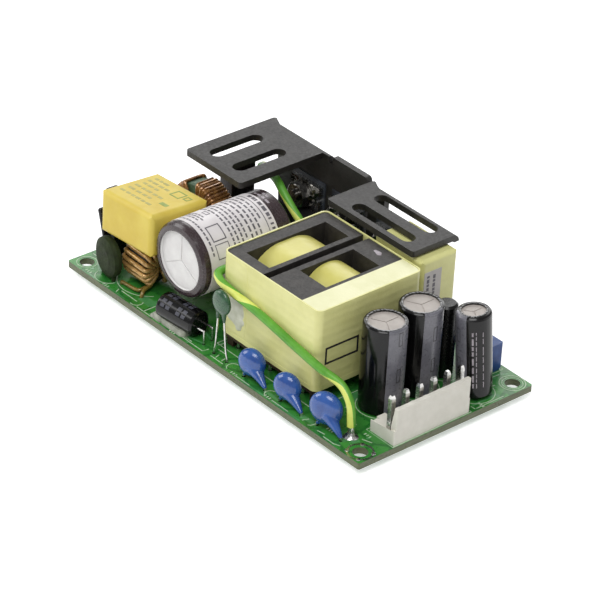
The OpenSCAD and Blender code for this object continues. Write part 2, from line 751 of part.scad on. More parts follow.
module ring_choke_base() {
  color([0.12, 0.12, 0.12])
    difference() {
      union() {
        slab(rc_x + 0.5, rc_x + 3.1, rc_y - ring_w / 2, rc_y + ring_w / 2, 0, 2.6, 0.5);
        slab(rc_x - 6.4, rc_x + 6.4, rc_y - ring_w / 2, rc_y + ring_w / 2, 0, rc_base_t, 0.5);
      }
      translate([rc_x, rc_y, deck + rc_z])
        rotate([90, 0, 0])
          cylinder(h = ring_w - 2, r = rc_core_o + fit_gap, center = true, $fn = 72);
      for (s = [-1, 1])
        translate([rc_x, rc_y + s * (ring_w / 2 - 0.4), deck + rc_z])
          rotate([90, 0, 0])
            cylinder(h = 2.4, r = rc_core_o - 0.35, center = true, $fn = 72);
      for (p = rc_pads)
        translate([p[0], p[1], deck - 1])
          cylinder(h = 5, r = p[2] + 0.1, $fn = 24);
    }
}

module film_capacitor() {
  color([0.87, 0.78, 0.32])
    union() {
      translate([(film_x0 + film_x1) / 2, (film_y0 + film_y1) / 2, deck + film_z])
        rotate(film_tilt)
          translate([0, 0, -deck])
            pillow(-film_l / 2, film_l / 2, -film_w / 2, film_w / 2, -film_t / 2, film_t / 2, 1.2);
      for (p = film_pads) {
        lead(p, film_z);
        ball(p[0], p[1], film_z, p[2]);
        along_y(p[0], film_y1 - 0.8, p[1], film_z, p[2]);
      }
    }
}

module box_capacitor() {
  color([0.1, 0.08, 0.09])
    union() {
      pillow(box_x0, box_x1, box_y0, box_y1, 0.8, box_h, 0.5);
      slab(box_x0 + 0.2, box_x1 - 0.2, box_y0 + 0.2, box_y1 - 0.2, 0, 2, 0.4);
      for (p = box_pads)
        lead(p, 1);
    }
}

// Capacitors

module bulk_can() {
  color([0.84, 0.84, 0.85])
    union() {
      translate([bulk_x, bulk_y1, deck + bulk_z])
        rotate([90, 0, 0])
          can(bulk_r, bulk_l, 1.9, 3, 0.7);
      for (p = bulk_pads) {
        lead(p, bulk_z);
        ball(p[0], p[1], bulk_z, p[2]);
        along_y(p[0], bulk_y1 - 0.6, p[1], bulk_z, p[2]);
      }
    }
}

module bulk_sleeve() {
  color([0.3, 0.24, 0.24])
    translate([bulk_x, bulk_y1, deck + bulk_z])
      rotate([90, 0, 0])
        sleeve(bulk_r, bulk_l, 1.9);
}

module small_at() {
  translate([small_x1, small_y1, deck + small_z])
    rotate([0, 0, small_yaw])
      rotate([0, -90, 0])
        children();
}

module small_can() {
  color([0.8, 0.8, 0.8])
    union() {
      small_at()
        can(small_r, small_l, 0.9, 2, 0.45);
      for (p = small_pads) {
        lead(p, small_z);
        ball(p[0], p[1], small_z, p[2]);
        translate([p[0], p[1], deck + small_z])
          rotate([0, 0, small_yaw])
            rotate([0, -90, 0])
              cylinder(h = small_lead_x - small_x1 + 0.6, r = p[2], $fn = 20);
      }
    }
}

module small_sleeve() {
  color([0.13, 0.13, 0.15])
    small_at()
      sleeve(small_r, small_l, 0.9);
}

module small_glue() {
  color([0.6, 0.62, 0.62])
    difference() {
      union() {
        slab(glue_x + 1.6, small_x1 - 1.7, -by + 0.5, -by + 6.4, 0, small_r * 0.5, 1.1);
        slab(glue_x - 1.6, glue_x + 2.4, -by + 0.4, -by + 3.2, 0, small_r * 0.7, 1.2);
      }
      translate([small_x1 + 1, small_y1 + 0.07, deck + small_z])
        rotate([0, 0, small_yaw])
          rotate([0, -90, 0])
            cylinder(h = small_l + 3, r = small_r + fit_gap, $fn = 64);
    }
}

module green_disc() {
  color([0.3, 0.5, 0.4])
    union() {
      translate(green + [0, 0, deck])
        intersection() {
          disc(6.8, 2.4);
          cube([4.6, 10, 20], center = true);
        }
      for (p = green_pads)
        let(z1 = green[2] - 2.4, x1 = green[0] + (p[0] > green[0] ? 0.9 : -0.9))
          hull() {
            translate([p[0], p[1], deck + 0.6])
              cylinder(h = 0.2, r = p[2], $fn = 12);
            translate([x1, p[1], deck + z1])
              cylinder(h = 0.2, r = p[2], $fn = 12);
          }
      for (p = green_pads)
        lead(p, 0.8);
    }
}

module safety_disc(c, pads, d) {
  color([0.2, 0.36, 0.7])
    union() {
      translate([c[0], c[1], deck + d / 2 + 1])
        disc(d, disc_t);
      for (p = pads)
        lead(p, 0.9);
      for (p = pads)
        let(s = p[0] > c[0] ? 1 : -1)
          hull() {
            translate([p[0], p[1], deck + 0.7])
              cylinder(h = 0.3, r = 0.5, $fn = 16);
            translate([c[0] + s * d * 0.26, c[1] - 0.2, deck + d / 2 + 1 - d * 0.22])
              sphere(r = 0.95, $fn = 16);
          }
    }
}

// Main transformer

module t_trim() {
  intersection() {
    slab(t_x0, t_x1, t_y0, t_y1, rail_z, core_h + 1, t_r);
    children();
  }
}

module leg(x0, x1, y) {
  translate([x0, y, deck + t_mid_z])
    rotate([0, 90, 0])
      cylinder(h = x1 - x0, r = leg_r, $fn = 48);
}

module core_half(ring, win) {
  color([0.27, 0.27, 0.29])
    t_trim()
      union() {
        block(ring[0], ring[1], t_y0 - 1, t_y1 + 1, t_z, core_h);
        block(ring[0], ring[2], t_y0 - 1, win[0], t_z, core_h);
        block(ring[0], ring[2], win[1], t_y1 + 1, t_z, core_h);
        leg(ring[1] - 0.1, ring[2], (win[0] + win[1]) / 2);
      }
}

module core_yoke(ring) {
  color([0.27, 0.27, 0.29])
    t_trim()
      block(ring[2], ring[3], t_y0 - 1, t_y1 + 1, t_z, core_h);
}

module coil(ring, win) {
  mid = (win[0] + win[1]) / 2;
  wide = win[1] - win[0] - 1;
  high = core_h - t_z - 1.2;
  color([0.82, 0.8, 0.5])
    translate([ring[1] + 0.1, mid, deck + t_mid_z])
      rotate([90, 0, 90])
        linear_extrude(ring[2] - ring[1] - 0.2)
          difference() {
            rrect(wide, high, min(wide, high) / 2 - 0.3);
            circle(r = leg_r + 0.15);
          }
}

module end_block() {
  color([0.88, 0.88, 0.74])
    t_trim()
      block(ring_b[3], t_x1 + 1, t_y0 - 1, t_y1 + 1, t_z - 0.6, core_h + 0.1);
}

module transformer_tape() {
  color([0.78, 0.77, 0.48])
    difference() {
      slab(t_x0 - tape_t, t_x1 + tape_t, t_y0 - tape_t, t_y1 + tape_t, t_z - 0.4, core_h + 0.2, t_r + tape_t);
      slab(t_x0 - 0.03, t_x1 + 0.03, t_y0 - 0.03, t_y1 + 0.03, t_z - 1, core_h + 1, t_r);
    }
}

module transformer_base() {
  color([0.3, 0.22, 0.18])
    for (y = rail_y)
      union() {
        block(t_x0 + 0.6, t_x1 - 0.6, y - 1.7, y + 1.7, rail_z, t_z - 0.6);
        block(t_x0 + 0.6, ring_b[3] - 0.1, y - 1.7, y + 1.7, rail_z, t_z);
        for (x = [t_x0 + 1.6, t_x1 - 1.6])
          block(x - 1, x + 1, y - 1, y + 1, 0, rail_z + 0.1);
      }
}

module transformer_pins() {
  color([0.75, 0.76, 0.76])
    for (p = t_pins)
      lead(p, rail_z);
}

module tape_glue() {
  color([0.8, 0.8, 0.76])
    pillow(t_x0 + 5.7 * t_u, t_x0 + 10.1 * t_u, t_y0 - tape_t - 0.6, t_y0 - tape_t, 7.6, 14.6, 0.28);
}

module standby_transformer() {
  color([0.8, 0.79, 0.52])
    union() {
      pillow(s_x0, s_x1, s_y0, s_y1, 2.4, standby_h, 1);
      slab(s_x0 + 0.6, s_x1 - 0.6, s_y0 + 0.6, s_y1 - 0.6, 1.6, 4, 0.4);
    }
}

module standby_base() {
  color([0.12, 0.12, 0.12])
    union() {
      slab(s_x0 + 0.3, s_x1 - 0.3, s_y0 + 0.3, s_y1 - 0.3, 0, 1.6, 0.4);
      for (p = s_pins)
        lead(p, 1);
    }
}

// Output side

module output_can(c, d, h, lip, tilt) {
  color([0.82, 0.82, 0.83])
    union() {
      translate([c[0], c[1], deck + oc_z + (tilt == [0, 0, 0] ? 0 : 0.35)])
        rotate(tilt)
          can(d / 2, h, lip, 3, 0.5);
      for (p = oc_pads)
        if (p[0] == c[0])
          lead(p, 1.4);
    }
}

module output_sleeve(c, d, h, lip, tilt) {
  color([0.14, 0.14, 0.15])
    translate([c[0], c[1], deck + oc_z + (tilt == [0, 0, 0] ? 0 : 0.35)])
      rotate(tilt)
        sleeve(d / 2, h, lip);
}

module output_choke() {
  color([0.1, 0.1, 0.1])
    union() {
      translate([chk[0], chk[1], deck])
        rotate_extrude($fn = 48)
          polygon([[0, 0], [chk_r - 0.3, 0], [chk_r, 0.3], [chk_r, chk_h - 0.5], [chk_r - 0.5, chk_h], [0, chk_h]]);
      for (p = chk_pads)
        lead(p, 0.5);
    }
}

module trimmer_body() {
  color([0.15, 0.3, 0.65])
    difference() {
      union() {
        slab(trim_x0, trim_x0 + trim_l, trim_y0, trim_y0 + trim_l, 0.5, trim_h, 0.3);
        for (x = [trim_x0 + 0.6, trim_x0 + trim_l - 0.6])
          slab(x - 0.5, x + 0.5, trim_y0 + 0.3, trim_y0 + trim_l - 0.3, 0, 1, 0.2);
        for (p = trim_pads)
          lead(p, 1);
      }
      translate([trim_x0 + trim_l / 2, trim_y0 + trim_l / 2, deck + trim_h - 1.2])
        cylinder(h = 3, r = 1.9 + fit_gap, $fn = 48);
    }
}

module trimmer_screw() {
  color([0.85, 0.84, 0.8])
    translate([trim_x0 + trim_l / 2, trim_y0 + trim_l / 2, deck + trim_h - 1.2])
      difference() {
        cylinder(h = 1.1, r = 1.9, $fn = 48);
        for (a = [20, 110])
          rotate([0, 0, a])
            translate([-1.4, -0.25, 0.6])
              cube([2.8, 0.5, 2]);
      }
}

// Earth wire: rings swept along a smooth line through the points
function unit(v) = v / norm(v);
function pick(i) = wire_pts[max(0, min(len(wire_pts) - 1, i))];
function smooth(i, t) = 0.5 * ((2 * pick(i)) + (pick(i + 1) - pick(i - 1)) * t
  + (2 * pick(i - 1) - 5 * pick(i) + 4 * pick(i + 1) - pick(i + 2)) * t * t
  + (3 * pick(i) - pick(i - 1) - 3 * pick(i + 1) + pick(i + 2)) * t * t * t);
wire_line = concat([for (i = [0:len(wire_pts) - 2], t = [0, 0.5]) smooth(i, t)], [wire_pts[len(wire_pts) - 1]]);
function way(i) = unit(wire_line[min(len(wire_line) - 1, i + 1)] - wire_line[max(0, i - 1)]);
wire_ring_n = 8;
wire_rings = [for (i = [0:len(wire_line) - 1])
  let(t = i == 0 ? [0, 0, 1] : i == len(wire_line) - 1 ? [0, 0, -1] : way(i), u = unit(cross(t, [1, 1, 0])), v = cross(t, u))
    [for (k = [0:wire_ring_n - 1]) wire_line[i] + [0, 0, deck] + wire_r * (cos(k * 45) * u + sin(k * 45) * v)]];

module earth_wire() {
  n = len(wire_rings);
  color([0.35, 0.6, 0.2])
    union() {
      polyhedron(
        points = [for (r = wire_rings) each r],
        faces = concat(
          [[for (k = [0:wire_ring_n - 1]) k]],
          [[for (k = [wire_ring_n - 1:-1:0]) (n - 1) * wire_ring_n + k]],
          [for (i = [0:n - 2], k = [0:wire_ring_n - 1]) [(i + 1) * wire_ring_n + k, (i + 1) * wire_ring_n + (k + 1) % wire_ring_n,
            i * wire_ring_n + (k + 1) % wire_ring_n, i * wire_ring_n + k]]),
        convexity = 8);
      for (p = wire_ends)
        lead(p, 1.2);
    }
}

circuit_board();
solder_joints();
primary_heatsink();
output_heatsink();
sink_screws();
sink_nuts();
star_washers();
thermal_pads();
device_body(dev_x[0]);  // switch_body
device_leadframe(0);  // switch_leadframe
device_body(dev_x[1]);  // diode_body
device_leadframe(1);  // diode_leadframe
device_body(dev_x[2]);  // rectifier_body
device_leadframe(2);  // rectifier_leadframe
header(ih_x0, ih_x1, ih_mid, ih_l, true, ih_pads);  // input_header
header_pins(ih_pads);  // input_pins
line_fuse();
varistor();
line_choke_core();
line_choke_coil();
ring_choke_core();
ring_choke_coil(-1);  // ring_choke_coil_a
ring_choke_coil(1);  // ring_choke_coil_b
ring_choke_base();
film_capacitor();
box_capacitor();
bulk_can();
bulk_sleeve();
small_can();
small_sleeve();
small_glue();
green_disc();
safety_disc(ya, ya_pads, disc_d);  // safety_disc_a
safety_disc(yb, yb_pads, disc_d);  // safety_disc_b
safety_disc(yc, yc_pads, disc_big_d);  // safety_disc_c
core_half(ring_a, win_a);  // transformer_core
core_yoke(ring_a);  // transformer_yoke
coil(ring_a, win_a);  // transformer_coil
core_half(ring_b, win_b);  // resonant_core
core_yoke(ring_b);  // resonant_yoke
coil(ring_b, win_b);  // resonant_coil
end_block();
transformer_tape();
transformer_base();
transformer_pins();
tape_glue();
standby_transformer();
standby_base();
output_can(oca, out_d, out_h, 0.95, [0, 0, 0]);  // output_can_a
output_sleeve(oca, out_d, out_h, 0.95, [0, 0, 0]);  // output_sleeve_a
output_can(ocb, out_d, out_h, 0.95, [0, 0, 0]);  // output_can_b
output_sleeve(ocb, out_d, out_h, 0.95, [0, 0, 0]);  // output_sleeve_b
output_can(occ, out_small_d, out_small_h, 1.2, occ_tilt);  // output_can_c
output_sleeve(occ, out_small_d, out_small_h, 1.2, occ_tilt);  // output_sleeve_c
output_choke();
trimmer_body();
trimmer_screw();
header(oh_x0, oh_x1, oh_mid, oh_l, false, oh_pads);  // output_header
header_pins(oh_pads);  // output_pins
earth_wire();
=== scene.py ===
import math

import bpy
import numpy as np
from mathutils import Matrix, Vector


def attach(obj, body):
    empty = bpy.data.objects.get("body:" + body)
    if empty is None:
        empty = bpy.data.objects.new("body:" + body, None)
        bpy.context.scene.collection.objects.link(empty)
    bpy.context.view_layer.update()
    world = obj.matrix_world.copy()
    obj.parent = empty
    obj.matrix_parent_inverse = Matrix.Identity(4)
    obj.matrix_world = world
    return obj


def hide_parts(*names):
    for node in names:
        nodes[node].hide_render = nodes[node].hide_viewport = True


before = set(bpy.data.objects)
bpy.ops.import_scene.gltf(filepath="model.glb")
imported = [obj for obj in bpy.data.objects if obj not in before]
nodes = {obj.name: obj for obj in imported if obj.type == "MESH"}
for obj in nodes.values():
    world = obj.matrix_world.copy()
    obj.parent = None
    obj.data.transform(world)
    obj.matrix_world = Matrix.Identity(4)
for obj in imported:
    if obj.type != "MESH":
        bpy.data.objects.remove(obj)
bpy.context.view_layer.update()
scene = bpy.context.scene
scene.view_settings.view_transform = "Standard"

# Millimetres. Board terms have z = 0 on the board's top face, DECK above the tips of the leads.
MM = 0.001
DECK = 3.1
BOARD_T = 1.6
TIP = -3.05
HOLE_X, HOLE_Y = 47.625, 22.225
# Bulk capacitor: axis and radius. Film and small capacitor: place, turn, and half height or radius
BULK_X, BULK_Z, BULK_R = -15.6, 15.7, 8.9
FILM_AT, FILM_TILT, FILM_TOP = (-34.0, -13.8, 16.15), (-3.4, -4.1, 0), 5.2
SMALL_AT, SMALL_TURN, SMALL_R = (-7.5, -21.4, 3.2), (0, 0, 4), 3.1
# Faces that carry marks: the core's top, the tape's end and front, the standby block's side
CORE_TOP = 24.0
TAPE_END_X, TAPE_FRONT_Y = 29.2, -19.4
STANDBY_X = 26.8
# Degrees between two faces from which their edge is sharp
SHARP = 38


def V(x, y, z):
    """A point in the board's own terms: millimetres, z above the board's top face."""
    return Vector((x * MM, y * MM, (z + DECK) * MM))


# Camera
def make_camera():
    az, el, roll = math.radians(47.868), math.radians(31.799), math.radians(3.252)
    back = Vector((math.sin(az) * math.cos(el), -math.cos(az) * math.cos(el), math.sin(el)))
    right = Vector((math.cos(az), math.sin(az), 0))
    up = back.cross(right)
    r = math.cos(roll) * right + math.sin(roll) * up
    u = -math.sin(roll) * right + math.cos(roll) * up
    distance, across, upward = 702.494, 1.234, 4.746
    spot = back * distance + r * across + u * upward
    data = bpy.data.cameras.new("camera")
    data.lens = 187.70
    data.sensor_width = 36.0
    data.clip_start, data.clip_end = 0.05, 20.0
    cam = bpy.data.objects.new("camera", data)
    m = Matrix((r, u, back)).transposed().to_4x4()
    m.translation = V(*spot)
    cam.matrix_world = m
    scene.collection.objects.link(cam)
    scene.camera = cam


# Materials
def lin(c):
    """#rrggbb to linear RGBA."""
    out = []
    for i in (1, 3, 5):
        v = int(c[i : i + 2], 16) / 255
        out.append(v / 12.92 if v <= 0.04045 else ((v + 0.055) / 1.055) ** 2.4)
    return (*out, 1.0)


def blank(name):
    m = bpy.data.materials.new(name)
    m.use_nodes = True
    nt = m.node_tree
    return m, nt, nt.nodes["Principled BSDF"]


def fill(nt, n, inputs):
    """Sets a node's inputs by name: sockets are linked, plain values are written."""
    for key, value in inputs.items():
        if isinstance(value, bpy.types.NodeSocket):
            nt.links.new(value, n.inputs[key])
        else:
            n.inputs[key].default_value = value


def node(nt, kind, inputs, **options):
    n = nt.nodes.new("ShaderNode" + kind)
    for key, value in options.items():
        setattr(n, key, value)
    fill(nt, n, inputs)
    return n


def coords(nt, stretch=(1, 1, 1)):
    """Object coordinates in mm."""
    place = node(nt, "TexCoord", {}).outputs["Object"]
    return node(nt, "Mapping", {"Scale": [s / MM for s in stretch], "Vector": place}).outputs["Vector"]


def noise(nt, vec, scale, detail=3.0, rough=0.55):
    inputs = {"Scale": scale, "Detail": detail, "Roughness": rough, "Vector": vec}
    return node(nt, "TexNoise", inputs).outputs["Fac"]


def ramp(nt, fac, stops):
    r = node(nt, "ValToRGB", {"Fac": fac})
    el = r.color_ramp.elements
    while len(el) < len(stops):
        el.new(0.5)
    for e, (p, c) in zip(el, stops):
        e.position = p
        e.color = lin(c) if isinstance(c, str) else (c, c, c, 1)
    return r.outputs["Color"]


def spread(nt, fac, lo, hi):
    inputs = {"From Min": 0.3, "From Max": 0.7, "To Min": lo, "To Max": hi, "Value": fac}
    return node(nt, "MapRange", inputs).outputs["Result"]


def calc(nt, operation, a, b=0.0):
    return node(nt, "Math", {0: a, 1: b}, operation=operation).outputs[0]


def mixed(nt, factor, a, b):
    inputs = {"Factor": factor, "A": a, "B": b}
    return node(nt, "Mix", inputs, data_type="RGBA").outputs["Result"]


def bump(nt, bsdf, height, strength, distance, last=None):
    inputs = {"Strength": strength, "Distance": distance * MM, "Height": height}
    if last is not None:
        inputs["Normal"] = last
    normal = node(nt, "Bump", inputs).outputs["Normal"]
    fill(nt, bsdf, {"Normal": normal})
    return normal


def surface(name, dark, light, rough, scale, metal, grain, coat=0.0, spec=0.5):
    """Two colours broken up by noise, roughness from a second noise, and a fine bump."""
    m, nt, b = blank(name)
    vec = coords(nt)
    colour = ramp(nt, noise(nt, vec, scale), [(0.32, dark), (0.68, light)])
    matt = spread(nt, noise(nt, vec, scale * 4.3, 2.0), *rough)
    fill(nt, b, {"Base Color": colour, "Roughness": matt, "Metallic": metal, "Specular IOR Level": spec})
    if coat:
        fill(nt, b, {"Coat Weight": coat, "Coat Roughness": 0.12})
    bump(nt, b, noise(nt, vec, grain[0], 2.0), grain[1], grain[2])
    return m


def board_material():
    """Glossy green mask with slightly lighter copper under it, and the bare laminate on the edges."""
    m, nt, b = blank("board_green")
    vec = coords(nt)
    inputs = {"Scale": 0.17, "Randomness": 0.85, "Vector": vec}
    edge = node(nt, "TexVoronoi", inputs, feature="DISTANCE_TO_EDGE").outputs["Distance"]
    mask = ramp(nt, edge, [(0.05, 0.0), (0.07, 1.0)])
    cloud = spread(nt, noise(nt, vec, 0.12, 2.0), 0.25, 1.0)
    top = mixed(nt, calc(nt, "MULTIPLY", mask, cloud), lin("#246828"), lin("#3a8834"))
    normal = node(nt, "NewGeometry", {}).outputs["Normal"]
    level = calc(nt, "ABSOLUTE", node(nt, "SeparateXYZ", {0: normal}).outputs["Z"])
    fibres = noise(nt, coords(nt, stretch=(0.4, 0.4, 6)), 1.0, 3.0)
    laminate = ramp(nt, fibres, [(0.3, "#3f472b"), (0.7, "#666c49")])
    gloss = spread(nt, noise(nt, vec, 0.8), 0.25, 0.4)
    fill(nt, b, {"Base Color": mixed(nt, level, laminate, top), "Roughness": gloss})
    bump(nt, b, mask, 0.25, 0.04)
    return m


def tape(name, dark, light):
    """Polyester tape: satin, with the faint lines of the layers under it."""
    m, nt, b = blank(name)
    vec = coords(nt)
    colour = ramp(nt, noise(nt, vec, 0.12, 4.0), [(0.3, dark), (0.7, light)])
    satin = spread(nt, noise(nt, vec, 0.6), 0.28, 0.42)
    fill(nt, b, {"Base Color": colour, "Roughness": satin, "Specular IOR Level": 0.45})
    inputs = {"Scale": 0.16, "Distortion": 1.2, "Detail": 1.5, "Vector": vec}
    layers = node(nt, "TexWave", inputs, bands_direction="Z").outputs["Fac"]
    last = bump(nt, b, layers, 0.18, 0.15)
    bump(nt, b, noise(nt, vec, 0.45, 3.0), 0.35, 0.25, last)
    return m


# Name, dark and light colour, roughness from and to, noise scale, metallic, grain (noise scale, strength,
# depth in mm), coat, specular
SURFACES = (
    ("solder", "#9c9d9c", "#d8d8d6", (0.18, 0.34), 1.6, 1.0, (1.2, 0.4, 0.05)),
    ("sink_grey", "#1d1b19", "#292724", (0.42, 0.56), 0.35, 0.0, (5.0, 0.5, 0.05)),
    ("steel", "#5b5956", "#969490", (0.14, 0.28), 1.2, 1.0, (6.0, 0.1, 0.01)),
    ("pad_grey", "#2a2d33", "#3b4048", (0.35, 0.6), 0.8, 0.0, (3.0, 0.3, 0.03)),
    ("device_black", "#0c0c0d", "#151516", (0.55, 0.75), 1.0, 0.0, (7.0, 0.35, 0.02), 0.0, 0.25),
    ("tinned", "#a9a9a6", "#dcdbd8", (0.14, 0.3), 0.9, 1.0, (3.0, 0.2, 0.02)),
    ("header_white", "#d6d3c8", "#dfdcd2", (0.42, 0.58), 0.35, 0.0, (1.6, 0.12, 0.03), 0.0, 0.4),
    ("case_black", "#080808", "#111112", (0.2, 0.36), 0.5, 0.0, (1.2, 0.06, 0.02), 0.0, 0.35),
    ("varistor_green", "#1d2412", "#283319", (0.55, 0.75), 0.6, 0.0, (1.4, 0.4, 0.05), 0.0, 0.2),
    ("line_core", "#1c1d14", "#2c2c1e", (0.5, 0.7), 0.6, 0.0, (2.0, 0.4, 0.04)),
    ("enamel_gold", "#a37f49", "#cfa565", (0.2, 0.34), 0.7, 0.4, (2.2, 0.2, 0.03), 0.5),
    ("ring_core", "#2e4a33", "#4b6a4e", (0.35, 0.55), 0.6, 0.0, (1.6, 0.3, 0.04)),
    ("enamel_copper", "#70492a", "#b18048", (0.2, 0.34), 0.7, 0.45, (2.2, 0.2, 0.03), 0.5),
    ("film_yellow", "#cbb244", "#d6c256", (0.4, 0.55), 0.15, 0.0, (1.5, 0.18, 0.03)),
    ("box_brown", "#0f0a0b", "#1a1213", (0.25, 0.45), 0.5, 0.0, (1.2, 0.2, 0.03), 0.0, 0.35),
    ("sleeve_brown", "#2b2023", "#3c2f32", (0.2, 0.32), 0.4, 0.0, (0.9, 0.2, 0.04), 0.25, 0.4),
    ("sleeve_black", "#070708", "#0f0f10", (0.12, 0.2), 0.4, 0.0, (0.7, 0.12, 0.04), 0.0, 0.35),
    ("glue", "#83867a", "#aeb0a2", (0.35, 0.55), 0.5, 0.0, (0.9, 0.7, 0.2)),
    ("disc_green", "#21442d", "#30593b", (0.22, 0.36), 0.6, 0.0, (1.0, 0.2, 0.04), 0.3),
    ("disc_blue", "#1d4389", "#2e5ba6", (0.16, 0.28), 0.3, 0.0, (0.8, 0.12, 0.04), 0.5),
    ("ferrite", "#262422", "#393633", (0.45, 0.62), 0.5, 0.15, (3.0, 0.45, 0.05)),
    ("bobbin_brown", "#2c1c14", "#3f2a20", (0.35, 0.55), 0.6, 0.0, (2.0, 0.3, 0.03)),
    ("base_black", "#101010", "#1a1a1a", (0.4, 0.6), 0.6, 0.0, (2.0, 0.3, 0.03)),
    ("trimmer_blue", "#213d78", "#2f5290", (0.3, 0.45), 0.4, 0.0, (1.6, 0.2, 0.03), 0.0, 0.35),
    ("screw_white", "#cfccc0", "#e2dfd4", (0.35, 0.5), 0.6, 0.0, (1.6, 0.2, 0.03)),
    ("wire_green", "#4d8f2b", "#66a83a", (0.3, 0.45), 0.3, 0.0, (0.8, 0.25, 0.05), 0.0, 0.4),
    ("wire_yellow", "#c9d35c", "#dbe27a", (0.3, 0.45), 0.3, 0.0, (0.8, 0.25, 0.05), 0.0, 0.4),
    ("silk", "#9db795", "#bccdb4", (0.5, 0.65), 1.5, 0.0, (4.0, 0.3, 0.01)),
    ("label_white", "#cfcacb", "#dedadb", (0.35, 0.5), 0.25, 0.0, (1.2, 0.12, 0.03)),
    ("label_grey", "#b3aeab", "#c3beba", (0.4, 0.55), 0.25, 0.0, (1.2, 0.12, 0.03)),
    ("stripe_grey", "#5f5f66", "#6f6e76", (0.24, 0.36), 0.3, 0.0, (0.9, 0.08, 0.03), 0.2),
    ("print_grey", "#4d4a50", "#67646a", (0.4, 0.55), 0.8, 0.0, (2.0, 0.2, 0.01)),
    ("mark_pale", "#8d858c", "#aaa2a8", (0.35, 0.5), 0.8, 0.0, (2.0, 0.2, 0.01)),
    ("mark_grey", "#3a3b44", "#4a4b55", (0.35, 0.5), 0.8, 0.0, (2.0, 0.2, 0.01)),
    ("film_print", "#a39a55", "#b3a95e", (0.4, 0.55), 0.8, 0.0, (2.0, 0.2, 0.01)),
    ("film_green", "#7d8f3e", "#94a44a", (0.4, 0.55), 0.8, 0.0, (2.0, 0.2, 0.01)),
    ("board_track", "#3f8048", "#4f9156", (0.28, 0.42), 0.4, 0.0, (1.2, 0.2, 0.02), 0.2),
    ("sleeve_gloss", "#0c0c0d", "#17171a", (0.08, 0.18), 0.6, 0.0, (1.6, 0.3, 0.03), 0.6),
    ("disc_white", "#d3d1d0", "#e0dfdd", (0.35, 0.5), 0.3, 0.0, (1.2, 0.1, 0.02)),
    ("smudge", "#bdbfa9", "#d7d8c8", (0.35, 0.55), 0.6, 0.0, (0.9, 0.6, 0.15)),
    # The line choke's leads: the gold enamel darkened to olive as painted shade, for where they lie under
    # the coil
    ("enamel_gold_shaded", "#6b5a24", "#8d7636", (0.2, 0.35), 0.7, 0.2, (1.2, 0.3, 0.05), 0.4),
    ("cap_top", "#a59e98", "#b5aea8", (0.4, 0.55), 0.3, 0.0, (1.2, 0.1, 0.02), 0.0, 0.35),
    ("print_dark", "#1a191c", "#2b292d", (0.3, 0.45), 0.8, 0.0, (2.0, 0.2, 0.01)),
)
TAPES = (
    ("tape_yellow", "#d0ce86", "#dfdd9a"),
    ("tape_dome", "#c2bb5e", "#d3cd78"),
    ("tape_pale", "#d6d6a4", "#e2e1b6"),
)
MAT = {}


def make_materials():
    MAT["board_green"] = board_material()
    for row in SURFACES:
        MAT[row[0]] = surface(*row)
    for row in TAPES:
        MAT[row[0]] = tape(*row)


# Material, and the nodes that wear it
DRESS = {
    "board_green": "circuit_board",
    "solder": "solder_joints",
    "sink_grey": "primary_heatsink output_heatsink",
    "steel": "sink_screws sink_nuts star_washers",
    "pad_grey": "thermal_pads",
    "device_black": "switch_body diode_body rectifier_body",
    "tinned": "switch_leadframe diode_leadframe rectifier_leadframe "
              "input_pins transformer_pins output_pins",
    "header_white": "input_header output_header",
    "case_black": "line_fuse small_can output_choke",
    "varistor_green": "varistor",
    "line_core": "line_choke_core",
    "enamel_gold": "line_choke_coil",
    "ring_core": "ring_choke_core",
    "enamel_copper": "ring_choke_coil_a ring_choke_coil_b",
    "base_black": "ring_choke_base standby_base",
    "film_yellow": "film_capacitor",
    "box_brown": "box_capacitor",
    "disc_white": "bulk_can",
    "sleeve_brown": "bulk_sleeve",
    "sleeve_black": "small_sleeve output_sleeve_a output_sleeve_b output_sleeve_c",
    "glue": "small_glue tape_glue",
    "disc_green": "green_disc",
    "disc_blue": "safety_disc_a safety_disc_b safety_disc_c",
    "ferrite": "transformer_core transformer_yoke resonant_core resonant_yoke",
    "tape_dome": "transformer_coil resonant_coil",
    "tape_pale": "end_block",
    "tape_yellow": "transformer_tape standby_transformer",
    "bobbin_brown": "transformer_base",
    "cap_top": "output_can_a output_can_b output_can_c",
    "trimmer_blue": "trimmer_body",
    "screw_white": "trimmer_screw",
    "wire_green": "earth_wire",
}


def dress_nodes():
    for mat, names in DRESS.items():
        for name in names.split():
            nodes[name].data.materials.clear()
            nodes[name].data.materials.append(MAT[mat])


# Mesh helpers
def piece(name, parts, mats, replaces=()):
    """A new object on the one body, from (verts, faces) parts that may add a material number."""
    verts, faces, index = [], [], []
    for part in parts:
        base = len(verts)
        verts.extend(tuple(v) for v in part[0])
        faces.extend(tuple(i + base for i in q) for q in part[1])
        m = part[2] if len(part) > 2 else 0
        index.extend(m if isinstance(m, list) else [m] * len(part[1]))
    me = bpy.data.meshes.new(name)
    me.from_pydata(verts, [], faces)
    for m in mats:
        me.materials.append(MAT[m])
    me.polygons.foreach_set("material_index", index)
    me.shade_smooth()
    me.set_sharp_from_angle(angle=math.radians(SHARP))
    me.validate()
    me.update()
    o = bpy.data.objects.new(name, me)
    scene.collection.objects.link(o)
    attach(o, "root")
    if replaces:
        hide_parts(*replaces)
    return o


